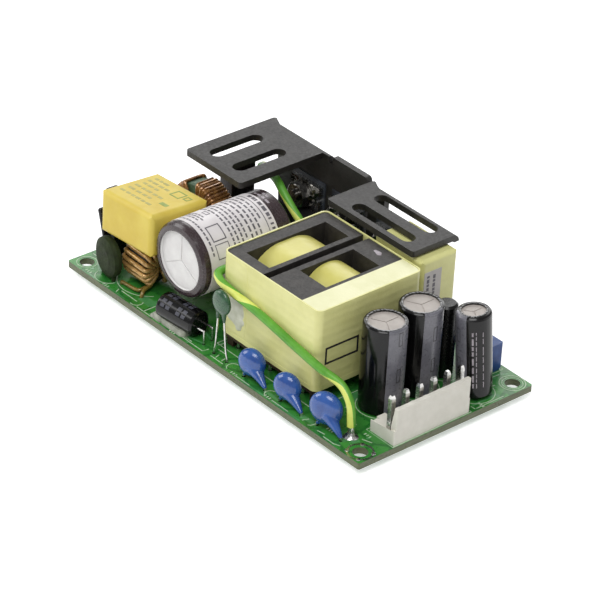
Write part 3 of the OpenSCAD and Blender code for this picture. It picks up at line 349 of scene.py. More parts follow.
def tube(path, radius, sides=10, turn=None, tone=None):
    """A closed tube along points, turned with the least twist.

    turn(i) adds radians at a point, and tone(k) gives a side's material number."""
    p = [Vector(q) for q in path]
    n = len(p)
    tang = [(p[min(i + 1, n - 1)] - p[max(i - 1, 0)]).normalized() for i in range(n)]
    ref = Vector((0, 0, 1)) if abs(tang[0].z) < 0.9 else Vector((1, 0, 0))
    u = tang[0].cross(ref).normalized()
    verts, faces, index = [], [], []
    for i in range(n):
        u = (u - tang[i] * u.dot(tang[i])).normalized()
        v = tang[i].cross(u)
        r = radius[i] if isinstance(radius, (list, tuple)) else radius
        off = turn(i) if turn else 0.0
        for k in range(sides):
            a = 2 * math.pi * k / sides + off
            verts.append(V(*(p[i] + (math.cos(a) * u + math.sin(a) * v) * r)))
    for i in range(n - 1):
        for k in range(sides):
            l = (k + 1) % sides
            faces.append((i * sides + k, i * sides + l, (i + 1) * sides + l, (i + 1) * sides + k))
            index.append(tone(k) if tone else 0)
    faces.append(tuple(range(sides - 1, -1, -1)))
    faces.append(tuple((n - 1) * sides + k for k in range(sides)))
    return verts, faces, index + [0, 0]


def smooth_path(pts, steps):
    """The same smooth line through the points as the source's, with more steps."""
    out = []
    at = lambda i: Vector(pts[max(0, min(len(pts) - 1, i))])
    for i in range(len(pts) - 1):
        a, b, c, d = at(i - 1), at(i), at(i + 1), at(i + 2)
        for k in range(steps):
            t = k / steps
            square, cube = 2 * a - 5 * b + 4 * c - d, 3 * b - a - 3 * c + d
            out.append(0.5 * (2 * b + (c - a) * t + square * t * t + cube * t * t * t))
    return out + [Vector(pts[-1])]


def plate(at, u0, u1, v0, v1, nu=1, nv=1, t=0.04, tone=0):
    """A thin closed plate: at(u, v, h) gives the board point at height h above the carrying face."""
    verts, faces = [], []
    for h in (0.0, t):
        for i in range(nu + 1):
            for j in range(nv + 1):
                verts.append(V(*at(u0 + (u1 - u0) * i / nu, v0 + (v1 - v0) * j / nv, h)))
    w = nv + 1
    top = (nu + 1) * w
    for i in range(nu):
        for j in range(nv):
            a, b, c, d = i * w + j, (i + 1) * w + j, (i + 1) * w + j + 1, i * w + j + 1
            faces.append((d, c, b, a))
            faces.append((a + top, b + top, c + top, d + top))
    rim = [i * w for i in range(nu)] + [nu * w + j for j in range(nv)]
    rim += [i * w + nv for i in range(nu, 0, -1)] + list(range(nv, 0, -1))
    for a, b in zip(rim, rim[1:] + rim[:1]):
        faces.append((a, b, b + top, a + top))
    return verts, faces, tone


def boxed(at, u0, u1, v0, v1, wu, wv, tone=0, t=0.04, nu=1, nv=1):
    """The thin outline of an empty field."""
    return [
        plate(at, u0, u1, v0, v0 + wv, nu, 1, t, tone),
        plate(at, u0, u1, v1 - wv, v1, nu, 1, t, tone),
        plate(at, u0, u0 + wu, v0 + wv, v1 - wv, 1, nv, t, tone),
        plate(at, u1 - wu, u1, v0 + wv, v1 - wv, 1, nv, t, tone),
    ]


def strip(points, width, z0, z1, closed=False):
    """A flat closed band on the board through 2-D points, from height z0 to z1."""
    n = len(points)
    verts, faces = [], []
    for i in range(n):
        a = points[(i - 1) % n] if closed or i > 0 else points[i]
        c = points[(i + 1) % n] if closed or i < n - 1 else points[i]
        d = Vector((c[0] - a[0], c[1] - a[1])).normalized()
        nx, ny, k = -d.y, d.x, width / 2
        if closed or 0 < i < n - 1:
            e = Vector((points[i][0] - a[0], points[i][1] - a[1])).normalized()
            k /= max(0.5, abs(-e.y * nx + e.x * ny))
        x, y = points[i]
        for z in (z0, z1):
            verts += [V(x + nx * k, y + ny * k, z), V(x - nx * k, y - ny * k, z)]
    for i in range(n if closed else n - 1):
        j = (i + 1) % n
        a, b = 4 * i, 4 * j
        faces += [(a + 2, a + 3, b + 3, b + 2), (a + 1, a, b, b + 1)]
        faces += [(a, a + 2, b + 2, b), (a + 3, a + 1, b + 1, b + 3)]
    if not closed:
        e = 4 * (n - 1)
        faces += [(0, 1, 3, 2), (e + 1, e, e + 2, e + 3)]
    return verts, faces


def arc(cx, cy, r, a0=0, a1=360, n=40):
    full = abs(a1 - a0) >= 360
    ang = [math.radians(a0 + (a1 - a0) * i / n) for i in range(n if full else n + 1)]
    return [(cx + r * math.cos(a), cy + r * math.sin(a)) for a in ang]


def lathe(to, profile, n, ripple=None):
    """A closed form of revolution from (radius, height) points; ripple(a, i) adds to a radius."""
    verts, faces, rows = [], [], []
    for i, (r, z) in enumerate(profile):
        if r < 1e-6:
            rows.append([len(verts)] * n)
            verts.append(V(*to(0, 0, z)))
            continue
        rows.append(list(range(len(verts), len(verts) + n)))
        for k in range(n):
            a = 2 * math.pi * k / n
            q = r + (ripple(a, i) if ripple else 0)
            verts.append(V(*to(q * math.cos(a), q * math.sin(a), z)))
    for a, b in zip(rows[:-1], rows[1:]):
        for k in range(n):
            l = (k + 1) % n
            faces.append(tuple(dict.fromkeys((a[k], a[l], b[l], b[k]))))
    for row, flip in ((rows[0], True), (rows[-1], False)):
        if row[0] != row[1]:
            faces.append(tuple(row[::-1] if flip else row))
    return verts, faces


def upright(x, y, z=0.0):
    return lambda a, b, c: (x + a, y + b, z + c)


def tilted(x, y, z, tilt):
    """Local mm to board mm for a part turned by tilt about X, then Y, then Z, as in the source."""
    rx, ry, rz = (Matrix.Rotation(math.radians(a), 3, axis) for a, axis in zip(tilt, "XYZ"))
    m = rz @ ry @ rx

    def to(a, b, c):
        q = m @ Vector((a, b, c))
        return (x + q.x, y + q.y, z + q.z)

    return to


def round_wall(to, r):
    """Surface of a cylinder about the local Z: u is the angle in degrees, v the height."""
    return lambda u, v, h: to((r + h) * math.cos(math.radians(u)), (r + h) * math.sin(math.radians(u)), v)


def slanted_wall(to, r, d0, z0, d1, z1):
    """A band of a cone about the local Z: v runs from (r + d0, z0) to (r + d1, z1)."""

    def at(u, v, h):
        a, q = math.radians(u), r + h + d0 + (d1 - d0) * v
        return to(q * math.cos(a), q * math.sin(a), z0 + (z1 - z0) * v + h)

    return at


# Share of its space that a bar fills, and degrees to a facet of it round a can
BAR, STEP = 0.74, 6


def words(at, u0, u1, v, size, count, seed, tone=0, along_u=True, t=0.03):
    """A row of plain bars where small print would be. Each fills BAR of its space."""
    out = []
    rnd = np.random.RandomState(seed)
    gaps = rnd.uniform(0.75, 1.5, count)
    edge = np.concatenate(([0], np.cumsum(gaps))) / gaps.sum()
    for a, b in zip(edge[:-1], edge[1:]):
        lo, hi = u0 + (u1 - u0) * a, u0 + (u1 - u0) * (a + (b - a) * BAR)
        n = max(1, int(abs(hi - lo) / STEP)) if along_u else 1
        out.append(plate(at, lo, hi, v - size / 2, v + size / 2, n, 1, t, tone))
    return out


# Windings
def loop_point(s, half_w, r_in, r_out, corner):
    """Point on a rounded rectangle around a core's section, s from 0 to 1, as (radius, along the axis)."""
    h = (r_out - r_in) / 2
    mid = (r_out + r_in) / 2
    pts = []
    x, y = h - corner, half_w - corner
    for cx, cy, a0 in ((x, y, 0), (-x, y, 90), (-x, -y, 180), (x, -y, 270)):
        for k in range(6):
            a = math.radians(a0 + 90 * k / 5)
            pts.append((mid + cx + corner * math.cos(a), cy + corner * math.sin(a)))
    pts.append(pts[0])
    f = s * (len(pts) - 1)
    i = min(int(f), len(pts) - 2)
    t = f - i
    return (pts[i][0] * (1 - t) + pts[i + 1][0] * t, pts[i][1] * (1 - t) + pts[i + 1][1] * t)


def winding(centre, to_world, turns, start, pitch, core, wire, wobble, per=24):
    """One wire wound round a ring, core = (r_in, r_out, half width). Every second turn lies deeper."""
    path = []
    for i in range(turns * per + 1):
        t = i / per
        k = int(min(t, turns - 1e-6))
        s = t - k
        deep = 0.42 * wire * (k % 2)
        off = wire * 0.55
        rad, ax = loop_point(s, core[2] + off, core[0] - off - deep * 1.6, core[1] + off, wire * 0.75)
        ang = start + pitch * t + wobble * math.sin(k * 2.4) * math.sin(2 * math.pi * s)
        path.append(to_world(centre, rad, ang, ax))
    return path


def about_y(c, rad, ang, ax):
    a = math.radians(ang)
    return (c[0] + rad * math.cos(a), c[1] + ax, c[2] + rad * math.sin(a))


def about_x(c, rad, ang, ax):
    a = math.radians(ang)
    return (c[0] + ax, c[1] + rad * math.cos(a), c[2] + rad * math.sin(a))


LINE_CHOKE_LEADS = (
    [(-28.2, -21.5, TIP), (-28.2, -21.5, -1), (-28.2, -21.5, 0.3), (-28.3, -21.2, 0.75),
     (-28.8, -20.2, 1.2), (-29.2, -18.2, 1.3)],
    [(-35.6, -21.5, TIP), (-35.6, -21.5, -1), (-35.5, -21.5, 0.3), (-35.2, -21.5, 0.55),
     (-33.0, -21.4, 0.6), (-30.2, -21.0, 0.7), (-29.8, -19.4, 0.9), (-29.9, -17.6, 0.9)],
)


def chokes():
    """The turns of both chokes, laid wire by wire, and their leads."""
    c = (-36.0, 2.8, 9.9)
    core = (4.7, 8.1, 2.3)
    wire, pitch, turns, lead_r = 0.82, 5.5, 28, 0.45
    for key, mid, side in (("a", 13.5, 1), ("b", 193.5, -1)):
        body = winding(c, about_y, turns, mid - pitch * turns / 2, pitch, core, wire, 0.4)
        parts = [tube(body, wire / 2, 8)]
        for sy in (-1, 1):
            x, y = c[0] + side * 5, c[1] + sy * 2.0
            parts.append(tube([(x, y, TIP), (x, y, -1), (x, y, 0.6), (x + side * 0.1, y, 2.6)], lead_r, 10))
        name = "ring_choke_turns_" + key
        piece(name, parts, ["enamel_copper"], replaces=("ring_choke_coil_" + key,))
    c = (-33.2, -15.4, 5.3)
    core = (2.2, 4.05, 3.5)
    wire, pitch, turns = 1.12, 18.6, 17
    parts = [tube(winding(c, about_x, turns, -70, pitch, core, wire, 0.7), wire / 2, 10)]
    # The leads take the second material, the gold enamel darkened as painted shade under the coil
    for pts in LINE_CHOKE_LEADS:
        parts.append(tube(smooth_path(pts, 4), lead_r, 10, tone=lambda k: 1))
    piece("line_choke_turns", parts, ["enamel_gold", "enamel_gold_shaded"], replaces=("line_choke_coil",))


# Board details
# Height of a solder cone's tip, least space between leads, and reach of a cone
CONE_TIP, LEAD_GAP, PAD_REACH = 0.4, 1.0, 1.2


def lead_spots():
    """Middles and radii of the leads' solder cones."""
    points = [v.co / MM for v in nodes["solder_joints"].data.vertices]
    tips = []
    for c in points:
        if c.z < CONE_TIP and all((c - q).xy.length >= LEAD_GAP for q in tips):
            tips.append(c)
    out = []
    for q in tips:
        near = [c for c in points if (c - q).xy.length < PAD_REACH]
        xs, ys = [c.x for c in near], [c.y for c in near]
        x = (min(xs) + max(xs)) / 2
        out.append((x, (min(ys) + max(ys)) / 2, max(xs) - x))
    return out


SILK_T, TRACK_T = 0.035, 0.022

# Printed rings (x, y, r), boxes (x0, x1, y0, y1), arcs (x, y, r, from, to), ticks (x, y) and lines
RINGS = (
    (36.8, -7, 5.35), (36, 3.9, 5.35), (45.2, 13, 4.6), (36, 12.6, 2.9),
)
BOXES = (
    (42.1, 50.5, -15.6, 7.2), (-50.5, -42.6, -12.3, -1.9), (34.9, 42.3, 17, 24.4),
    (-41.4, -35.6, 10.6, 18.2), (-3.2, 29.6, -19.8, 10.6), (10.4, 27.4, 11.9, 23.4),
)
ARCS = (
    (-39.8, -21.8, 3.3, 196, 344), (-27.3, -23.6, 1.5, 250, 40), (6.6, -23.2, 1.5, 90, 250),
    (-33.2, -15.4, 7.4, 200, 330), (32.6, -23.4, 1.4, -60, 60), (19.6, -23.4, 1.4, 100, 250),
)
TICKS = (
    (-45, -24.4), (-37.8, -24.9), (-13.4, -24.95), (7.8, -24.7), (19.2, -24.6), (36.9, -22), (43.2, -16.9),
    (49, 10.8), (44.4, 18.2), (-46.6, 8), (-30, 4), (-18.6, 13), (33, -13.4), (32.2, 10.6),
)
LINES = (
    [(-33, -23.5), (-27.4, -23.5)], [(-25.6, -24.9), (-20.1, -24.9)], [(-23.2, -24.9), (-23.2, -21.4)],
    [(-18.6, -24.9), (-17.6, -24.9), (-17, -24.5), (-2.6, -24.5), (-2.3, -22.9)],
    [(-10.7, -23.9), (-8.2, -23.9)], [(-2.3, -20.1), (-2.1, -18.5)], [(-1, -21.2), (1.7, -21.2)],
    [(1.2, -23.8), (0.8, -22.5)], [(-0.1, -24.2), (4.2, -24.2)], [(3, -23.6), (2.8, -22.4)],
    [(-33.4, -24.8), (-34, -23.5)], [(31.2, -24.4), (31.8, -22.9)], [(36.1, -24.3), (38.2, -24)],
    [(21.4, -24.7), (26.9, -24.7)], [(9, -24.9), (14.2, -24.9)],
    [(38.6, -24.8), (42, -24.8), (43.4, -24.2)], [(43.2, 19.6), (43.4, 22.2)], [(50.2, 9), (50.2, 17.2)],
    [(48.9, 8.6), (50.2, 8.6)], [(39.4, -16), (39.4, -18.2), (41.2, -18.2)], [(44.3, -18.8), (46.6, -18)],
    [(-49.8, -18.8), (-43.4, -18.8), (-43.4, -12.2), (-49.8, -12.2)],
    [(-24.6, 6), (-24.6, 17.4), (-8.2, 17.4)], [(-21.2, 8.2), (-11.2, 8.2)], [(-49.4, 2), (-49.4, 19)],
    [(-45.2, 4), (-45.2, 12)], [(-20, -24), (-7, -24)],
)
# Tracks on the top and the underside (width, points), and vias
TRACKS = (
    (1.6, [(-46.6, -14.8), (-46.6, -19.4), (-42.3, -22)]), (1.2, [(-37.4, -22.4), (-35.6, -21.5)]),
    (2.4, [(-28.2, -21.5), (-24.6, -21.5), (-22, -18), (-22, -6), (-26.5, -4.6)]),
    (0.5, [(-19.6, -23.2), (-8.4, -23.2), (-5, -22.4)]), (0.5, [(-8.6, -19), (-5.2, -19.9)]),
    (0.4, [(-0.5, -22.9), (-2.4, -20.8), (-2.4, -15.6)]), (0.4, [(4.1, -22.9), (6.2, -20.9), (9.6, -20.9)]),
    (0.9, [(10.6, -23.5), (8.4, -21.7), (8.4, -17)]), (0.9, [(17.8, -23.5), (22.6, -23.5)]),
    (1.3, [(29.9, -23.4), (34.4, -23)]), (1.8, [(42, -22.7), (42, -20), (44.6, -20.6)]),
    (0.4, [(12, -25), (31, -25)]), (0.4, [(-44, -25), (-30, -25)]), (2.6, [(31.2, -12), (31.2, 9)]),
    (2.6, [(41.2, 8.8), (41.2, 15.4), (44, 18)]), (0.6, [(48.8, 9), (48.8, 16.8)]),
    (0.6, [(42.8, 23.6), (37, 24.9), (28, 24.9)]), (0.5, [(43, 17.2), (43, 21.8), (44.4, 24)]),
    (1.8, [(-46.6, 2.4), (-42.2, 4), (-41, 4.8)]), (1.8, [(-46.6, -7), (-43, -4), (-41, -1)]),
    (0.5, [(-49.6, 12), (-49.6, 20)]), (1, [(-30.8, 4.8), (-26, 8), (-26, 20)]),
    (1, [(-19, 6.6), (-19, 12), (-12, 16), (-8, 20.4)]), (0.5, [(-23, 10), (-23, 17), (-20, 19.6)]),
    (0.5, [(-44.6, 23.6), (-38, 24.6), (-36, 24.6)]), (1.4, [(0.4, 12), (8, 12), (8, 19), (4, 20.4)]),
)
BACK_TRACKS = (
    (3.4, [(-46.6, -7), (-46.6, -14.8), (-42.3, -21.6)]),
    (3, [(-46.6, 2.4), (-41, 4.8), (-41, 10), (-38.5, 12.4)]),
    (2.6, [(-28.2, -21.5), (-26.5, -4.6), (-31, 0.8)]), (2.4, [(-41, 0.8), (-41.5, -4.6), (-35.6, -21.5)]),
    (3.6, [(-19.3, 6.5), (-19.3, 14), (-21, 20.6)]), (3.6, [(-11.8, 6.5), (-11.8, 12), (-10, 20.6)]),
    (0.6, [(-4.8, -20), (-8, -12), (-8, 0), (-2, 4)]), (0.6, [(-4.6, -22.4), (0, -18.8)]),
    (2.8, [(0.9, -17), (6.6, -17), (12, -17)]), (2.8, [(0.9, 7.9), (6.6, 7.9), (7.8, 20.6)]),
    (2.8, [(17.4, -17), (23, -17), (36.8, -9.5), (47.7, -14.1)]), (4, [(23, 7.9), (36, 6.4), (47.7, 5.7)]),
    (3.4, [(36.8, -4.5), (47.7, -6.2)]), (3.4, [(36, 1.4), (47.7, -2.2)]), (2, [(13, 13.8), (12.4, 7.9)]),
    (0.7, [(24.7, 21.4), (35.8, 20.4)]), (0.7, [(41, 19.1), (45.2, 14.8)]),
    (1.6, [(17.9, -23.5), (22.6, -23.4)]), (1.6, [(29.9, -23.4), (34.4, -23)]),
    (2.2, [(42, -22.7), (42, -20), (45.4, -20.9)]),
)
VIAS = (
    (-21.4, -24.4), (-12.6, -22.4), (-7.4, -24.9), (8, -22.3), (14, -22.4), (20.6, -22.6), (32.2, -20.6),
    (40, -24.9), (44.8, -17.6), (43.8, 20.4), (45.4, 17.6), (49.4, 16.2), (42.4, 12.8), (-44.6, -22.9),
    (-42.6, -20.6), (-50, 8), (-44, 16), (-25.4, 12.4), (-15, 8.4), (33.4, -3), (33.2, 8.6),
)


def board_pads():
    pads = []
    for x, y, r in lead_spots():
        q = r + 0.12
        cone = [(0.0, 0.0), (q, 0.0), (q, 0.03), (q - 0.25, 0.08), (q * 0.62, 0.2), (0.0, 0.42)]
        pads.append(lathe(upright(x, y), cone, 20))
        ring_under = [(0.0, -0.04), (q + 0.2, -0.04), (q + 0.2, 0.0), (0.0, 0.0)]
        pads.append(lathe(upright(x, y, -BOARD_T), ring_under, 20))
    for sx, sy in ((-1, -1), (1, -1), (-1, 1), (1, 1)):
        hole = arc(sx * HOLE_X, sy * HOLE_Y, 2.75)
        pads.append(strip(hole, 0.6, -BOARD_T - 0.04, -BOARD_T, True))
    cx, cy = HOLE_X, -HOLE_Y
    pads.append(strip(arc(cx, cy, 2.88, n=48), 0.42, 0.0, 0.06, True))
    for a in (40, 130, 220, 310):
        x, y = cx + 2.85 * math.cos(math.radians(a)), cy + 2.85 * math.sin(math.radians(a))
        pads.append(lathe(upright(x, y), [(0.0, 0.0), (0.55, 0.0), (0.5, 0.14), (0.0, 0.24)], 14))
    heap = [(0.0, 0.0), (1.75, 0.0), (1.6, 0.12), (1.05, 0.4), (0.75, 1.0), (0.0, 1.1)]
    pads.append(lathe(upright(42.0, -20.0), heap, 28, ripple=lambda a, i: 0.12 * math.sin(3 * a + i)))
    piece("board_pads", pads, ["solder"])


def board_silk():
    z = (0.0, SILK_T)
    silk = [
        strip(arc(HOLE_X, HOLE_Y, 2.95, n=56), 0.24, *z, True),
        strip(arc(HOLE_X, HOLE_Y, 2.35, n=48), 0.16, *z, True),
        strip(arc(-HOLE_X, -HOLE_Y, 2.4, n=48), 0.18, *z, True),
    ]
    silk += [strip(arc(x, y, r, n=56), 0.2, *z, True) for x, y, r in RINGS]
    silk += [strip([(x0, y0), (x1, y0), (x1, y1), (x0, y1)], 0.2, *z, True) for x0, x1, y0, y1 in BOXES]
    silk += [strip(q, 0.22, *z) for q in LINES]
    silk += [strip(arc(x, y, r, a0, a1 if a1 > a0 else a1 + 360, 24), 0.2, *z) for x, y, r, a0, a1 in ARCS]
    for x, y in TICKS:
        for k in range(3):
            silk.append(strip([(x + 0.75 * k, y - 0.35), (x + 0.75 * k, y + 0.35)], 0.3, *z))
    piece("board_silk", silk, ["silk"])


def board_tracks():
    copper = [strip(q, w, 0.0, TRACK_T) for w, q in TRACKS]
    via = [(0.0, 0.0), (0.42, 0.0), (0.42, TRACK_T + 0.004), (0.0, TRACK_T + 0.004)]
    copper += [lathe(upright(x, y), via, 14) for x, y in VIAS]
    copper += [strip(q, w, -BOARD_T - TRACK_T, -BOARD_T) for w, q in BACK_TRACKS]
    piece("board_tracks", copper, ["board_track"])


# Labels, stripes and plain marks
# Rows of bars on the bulk capacitor's label: place along the can, from and to round it in degrees, size,
# number of bars, seed
BULK_ROWS = (
    (-17.9, -30, 66, 0.42, 13, 1), (-16.5, -34, 4, 0.4, 5, 2), (-15.6, -34, 8, 0.4, 6, 3),
    (-14.7, -34, 2, 0.4, 5, 4), (-11.7, -32, 72, 0.45, 12, 5), (-10.5, -28, 66, 0.45, 11, 6),
    (-9.3, -30, 74, 0.45, 12, 7), (-8.1, -30, 58, 0.45, 10, 8), (-6.6, -26, 74, 0.5, 9, 9),
    (-5.3, -28, 60, 0.5, 9, 10), (-0.4, -12, 70, 0.9, 7, 12),
)
BULK_ROWS_BELOW = ((-4.0, -30, 66, 0.45, 11, 13), (-2.8, -20, 40, 0.45, 6, 14))


def bulk_marks():
    """The bulk capacitor's blank label with bars, boxes and a rule, and faint bars on its sleeve."""

    def bulk(u, v, h):
        a = math.radians(u)
        return BULK_X + (BULK_R + h) * math.sin(a), v, BULK_Z + (BULK_R + h) * math.cos(a)

    label_t = 0.06
    ink = lambda u, v, h: bulk(u, v, h + label_t)
    marks = []
    for v, u0, u1, size, count, seed in BULK_ROWS:
        marks += words(ink, u0, u1, v, size, count, seed)
    marks.append(plate(ink, -24, 84, -1.75, -1.55, 24, 1, 0.03))
    for v, u0, u1, size, count, seed in BULK_ROWS_BELOW:
        marks += words(ink, u0, u1, v, size, count, seed)
    marks += boxed(ink, 20, 46, -16.9, -13.2, 1.6, 0.26, nu=6, nv=2)
    marks += boxed(ink, 50, 72, -16.9, -13.2, 1.2, 0.18, nu=6, nv=2)
    marks += boxed(ink, -14, -2, -13.6, -12.5, 1.2, 0.16, nu=3)
    piece("bulk_label", [plate(bulk, -118, 152, -19.1, 0.6, 60, 7, label_t)], ["label_white"])
    piece("bulk_label_marks", marks, ["print_grey"])
    faint = words(bulk, -14, 22, 1.7, 0.6, 4, 22) + words(bulk, -4, 10, 2.9, 0.6, 2, 23)
    piece("bulk_sleeve_marks", faint, ["mark_pale"])


# Output capacitors: key, place, radius, height, lip, stripe's middle and half width in degrees,
# half width of its empty boxes, and their heights
CAPS = (
    ("a", upright(36.8, -7, 0.1), 5, 21.6, 0.95, -3, 31, 6, ((17.6, 21), (8.4, 11.8))),
    ("b", upright(36, 3.9, 0.1), 5, 21.6, 0.95, -3, 31, 6, ((14.4, 18), (6.6, 10))),
    ("c", tilted(45.2, 13, 0.45, (2.5, -4.2, 0)), 4, 20.4, 1.2, -100, 33, 8, ((13.8, 17.2), (6.6, 10))),
)


def cap_marks():
    """Stripes over the wall and the rolled edge, wrinkled rims, and columns of bars."""
    for key, to, r, h, lip, mid, half, side, boxes in CAPS:
        k = min(1.5, lip - 0.35)
        wall = round_wall(to, r)
        band = [plate(wall, mid - half, mid + half, 0.6, h - k - 0.02, 18, 1, 0.03)]
        steps = ((0.0, h - k), (-0.13 * k, h - 0.5 * k), (-0.45 * k, h - 0.13 * k), (-k, h))
        for low, high in zip(steps[:-1], steps[1:]):
            over = slanted_wall(to, r, *low, *high)
            band.append(plate(over, mid - half, mid + half, 0, 1, 18, 1, 0.03))
        ink = lambda u, v, hh, wall=wall: wall(u, v, hh + 0.03)
        for z0, z1 in boxes:
            band += boxed(ink, mid + 2 - side, mid + 2 + side, z0, z1, 1.6, 0.16, tone=1, t=0.02, nu=4)
        piece("output_stripe_" + key, band, ["stripe_grey", "print_dark"])
        rim = [(r - lip - 0.1, h - 0.3), (r - lip - 0.02, h + 0.05)]
        rim += [(r - k - 0.05, h + 0.08), (r - 0.8 * k, h - 0.1)]
        piece("output_rim_" + key, [ring(to, rim, 160, wrinkle)], ["sleeve_gloss"])
    wall = round_wall(CAPS[2][1], 4.03)
    cols = []
    for u, width, count, seed in ((-47, 5.5, 8, 31), (-36, 2.6, 11, 32), (-14, 2.6, 7, 33)):
        up = lambda a, b, hh, u=u: wall(u + b, a, hh)
        cols += words(up, 3.0, 17.2, 0, width, count, seed, along_u=False)
    piece("output_cap_marks", cols, ["mark_pale"])


def wrinkle(a, i):
    """The crimped sleeve's ripple on the two upper points of a rim's section."""
    wave = math.sin(a * 31) + 0.6 * math.sin(a * 47 + 1.3) + 0.5 * math.sin(a * 13)
    return (0.03 if 1 <= i <= 2 else 0.0) * wave


# Rows on the film capacitor: across, from, to, count, seed
FILM_ROWS = (
    (5.4, -6.6, -1.2, 3, 41), (3.6, -6.8, 1.0, 4, 42), (1.8, -6.4, -0.6, 3, 43),
    (-0.2, -6.8, 3.4, 5, 44), (-2.2, -6.6, 1.8, 4, 45), (-4.4, -6.8, 4.6, 6, 46),
)


def box_marks():
    """Plain marks on the film capacitor, the small capacitor and the two taped transformers."""
    to = tilted(*FILM_AT, FILM_TILT)
    top = lambda u, v, h: to(u, v, FILM_TOP + h)
    marks = []
    for v, u0, u1, count, seed in FILM_ROWS:
        marks += words(top, u0, u1, v, 0.75, count, seed, along_u=False)
    marks += boxed(top, 1.8, 5.0, 2.6, 5.6, 0.34, 0.34, tone=1)
    marks += boxed(top, 5.6, 7.2, 3.4, 5.2, 0.3, 0.3, tone=1)
    marks.append(plate(top, 4.4, 6.8, -2.4, -1.2, 1, 1, 0.03, 1))
    piece("film_marks", marks, ["film_print", "film_green"])

    small = tilted(*SMALL_AT, SMALL_TURN)

    def side(u, v, h):
        a = math.radians(u)
        return small(-v, (SMALL_R + h) * math.cos(a), (SMALL_R + h) * math.sin(a))

    marks = []
    for v0 in (2.3, 7.3):
        for u in (62, 84, 118, 140):
            for k in range(2):
                marks.append(plate(side, u, u + 15, v0 + 1.7 * k, v0 + 1.7 * k + 1.2, 3, 1, 0.03))
    piece("small_cap_marks", marks, ["mark_grey"])

    face = lambda u, v, h: (STANDBY_X + h, u, v)
    ink = lambda u, v, h: face(v, u, h + 0.05)
    parts = [plate(face, 13.2, 18.3, 12.6, 21.0, 1, 1, 0.05)]
    for v, count, seed in ((14.4, 7, 51), (16.2, 6, 52)):
        parts += words(ink, 13.4, 20.2, v, 0.7, count, seed, 1, False)
    piece("standby_label", parts, ["label_grey", "print_grey"])

    end = lambda u, v, h: (TAPE_END_X + h, u, v)
    front = lambda u, v, h: (u, TAPE_FRONT_Y - h, v)
    piece("transformer_field", boxed(end, -17.0, -7.5, 10.1, 14.4, 0.5, 0.5), ["print_dark"])
    layers = [
        plate(end, -17.6, 8.6, 4.3, 5.1, 1, 1, 0.05),
        plate(front, -1.2, 27.4, 4.3, 4.9, 1, 1, 0.05),
        plate(front, -1.0, 5.6, 5.6, 23.6, 1, 1, 0.05),
    ]
    piece("tape_layers", layers, ["tape_yellow"])


def ring(to, profile, n, ripple):
    """A closed ring of revolution whose profile is a closed loop."""
    verts, faces = [], []
    m = len(profile)
    for k in range(n):
        a = 2 * math.pi * k / n
        for i, (r, z) in enumerate(profile):
            d = ripple(a, i)
            verts.append(V(*to((r + d) * math.cos(a), (r + d) * math.sin(a), z + d * 0.8)))
    for k in range(n):
        l = (k + 1) % n
        for i in range(m):
            j = (i + 1) % m
            faces.append((k * m + i, k * m + j, l * m + j, l * m + i))
    return verts, faces


def blob(to, outline, height):
    """A low smear: an outline closed over by shrinking copies of itself."""
    n, rings = len(outline), 4
    cx, cy = sum(p[0] for p in outline) / n, sum(p[1] for p in outline) / n
    verts, faces = [], []
    for k in range(rings + 1):
        s = math.cos(0.5 * math.pi * k / (rings + 0.6))
        z = height * math.sin(0.5 * math.pi * k / (rings + 0.6))
        for x, y in outline:
            verts.append(V(*to(cx + (x - cx) * s, cy + (y - cy) * s, z)))
    for k in range(rings):
        for i in range(n):
            j = (i + 1) % n
            faces.append((k * n + i, k * n + j, (k + 1) * n + j, (k + 1) * n + i))
    faces.append(tuple(rings * n + i for i in range(n)))
    faces.append(tuple(range(n - 1, -1, -1)))
    return verts, faces


def uneven(cx, cy, rx, ry, seed, n=26, rough=0.16):
    """An irregular oval outline."""
    rnd = np.random.RandomState(seed)
    ph = rnd.uniform(0, 6.28, 4)
    out = []
    for i in range(n):
        a = 2 * math.pi * i / n
        wave = math.sin(2 * a + ph[0]) + 0.7 * math.sin(3 * a + ph[1]) + 0.5 * math.sin(5 * a + ph[2])
        k = 1 + rough * wave
        out.append((cx + rx * k * math.cos(a), cy + ry * k * math.sin(a)))
    return out


def smears():
    top = lambda x, y, z: (x, y, CORE_TOP + z)
    piece("core_smear", [blob(top, uneven(17.7, 7.4, 1.3, 0.6, 3), 0.08)], ["mark_pale"])
    piece("glue_smears", [blob(upright(0, 0), uneven(-19.6, -23.0, 2.0, 1.7, 6), 0.9)], ["glue"])


def applied(o):
    """Puts a piece's modifiers into its mesh."""
    bpy.context.view_layer.update()
    me = bpy.data.meshes.new_from_object(o.evaluated_get(bpy.context.evaluated_depsgraph_get()))
    o.modifiers.clear()
    old, name = o.data, o.data.name
    o.data = me
    bpy.data.meshes.remove(old)
    me.name = name
    return me


def melt(o, voxel, rounds):
    """Runs a piece's overlapping closed parts together into one smooth skin."""
    mod = o.modifiers.new("skin", "REMESH")
    mod.mode = "VOXEL"
    mod.voxel_size = voxel * MM
    mod = o.modifiers.new("soft", "SMOOTH")
    mod.factor = 0.5
    mod.iterations = rounds
    mat = o.data.materials[0]
    me = applied(o)
    me.materials.clear()
    me.materials.append(mat)
    me.shade_smooth()


def lens(x, y, z, r, t, yaw, n=40):
    """A fat round disc standing on edge, turned by yaw about the vertical."""
    c, s = math.cos(math.radians(yaw)), math.sin(math.radians(yaw))
    to = lambda a, b, h: (x + a * c + h * s, y + a * s - h * c, z + b)
    profile = []
    for k in range(17):
        q = math.pi * (k / 16 - 0.5)
        profile.append((r * math.cos(q) ** 0.8 if 0 < k < 16 else 0.0, t / 2 * math.sin(q)))
    return lathe(to, profile, n)


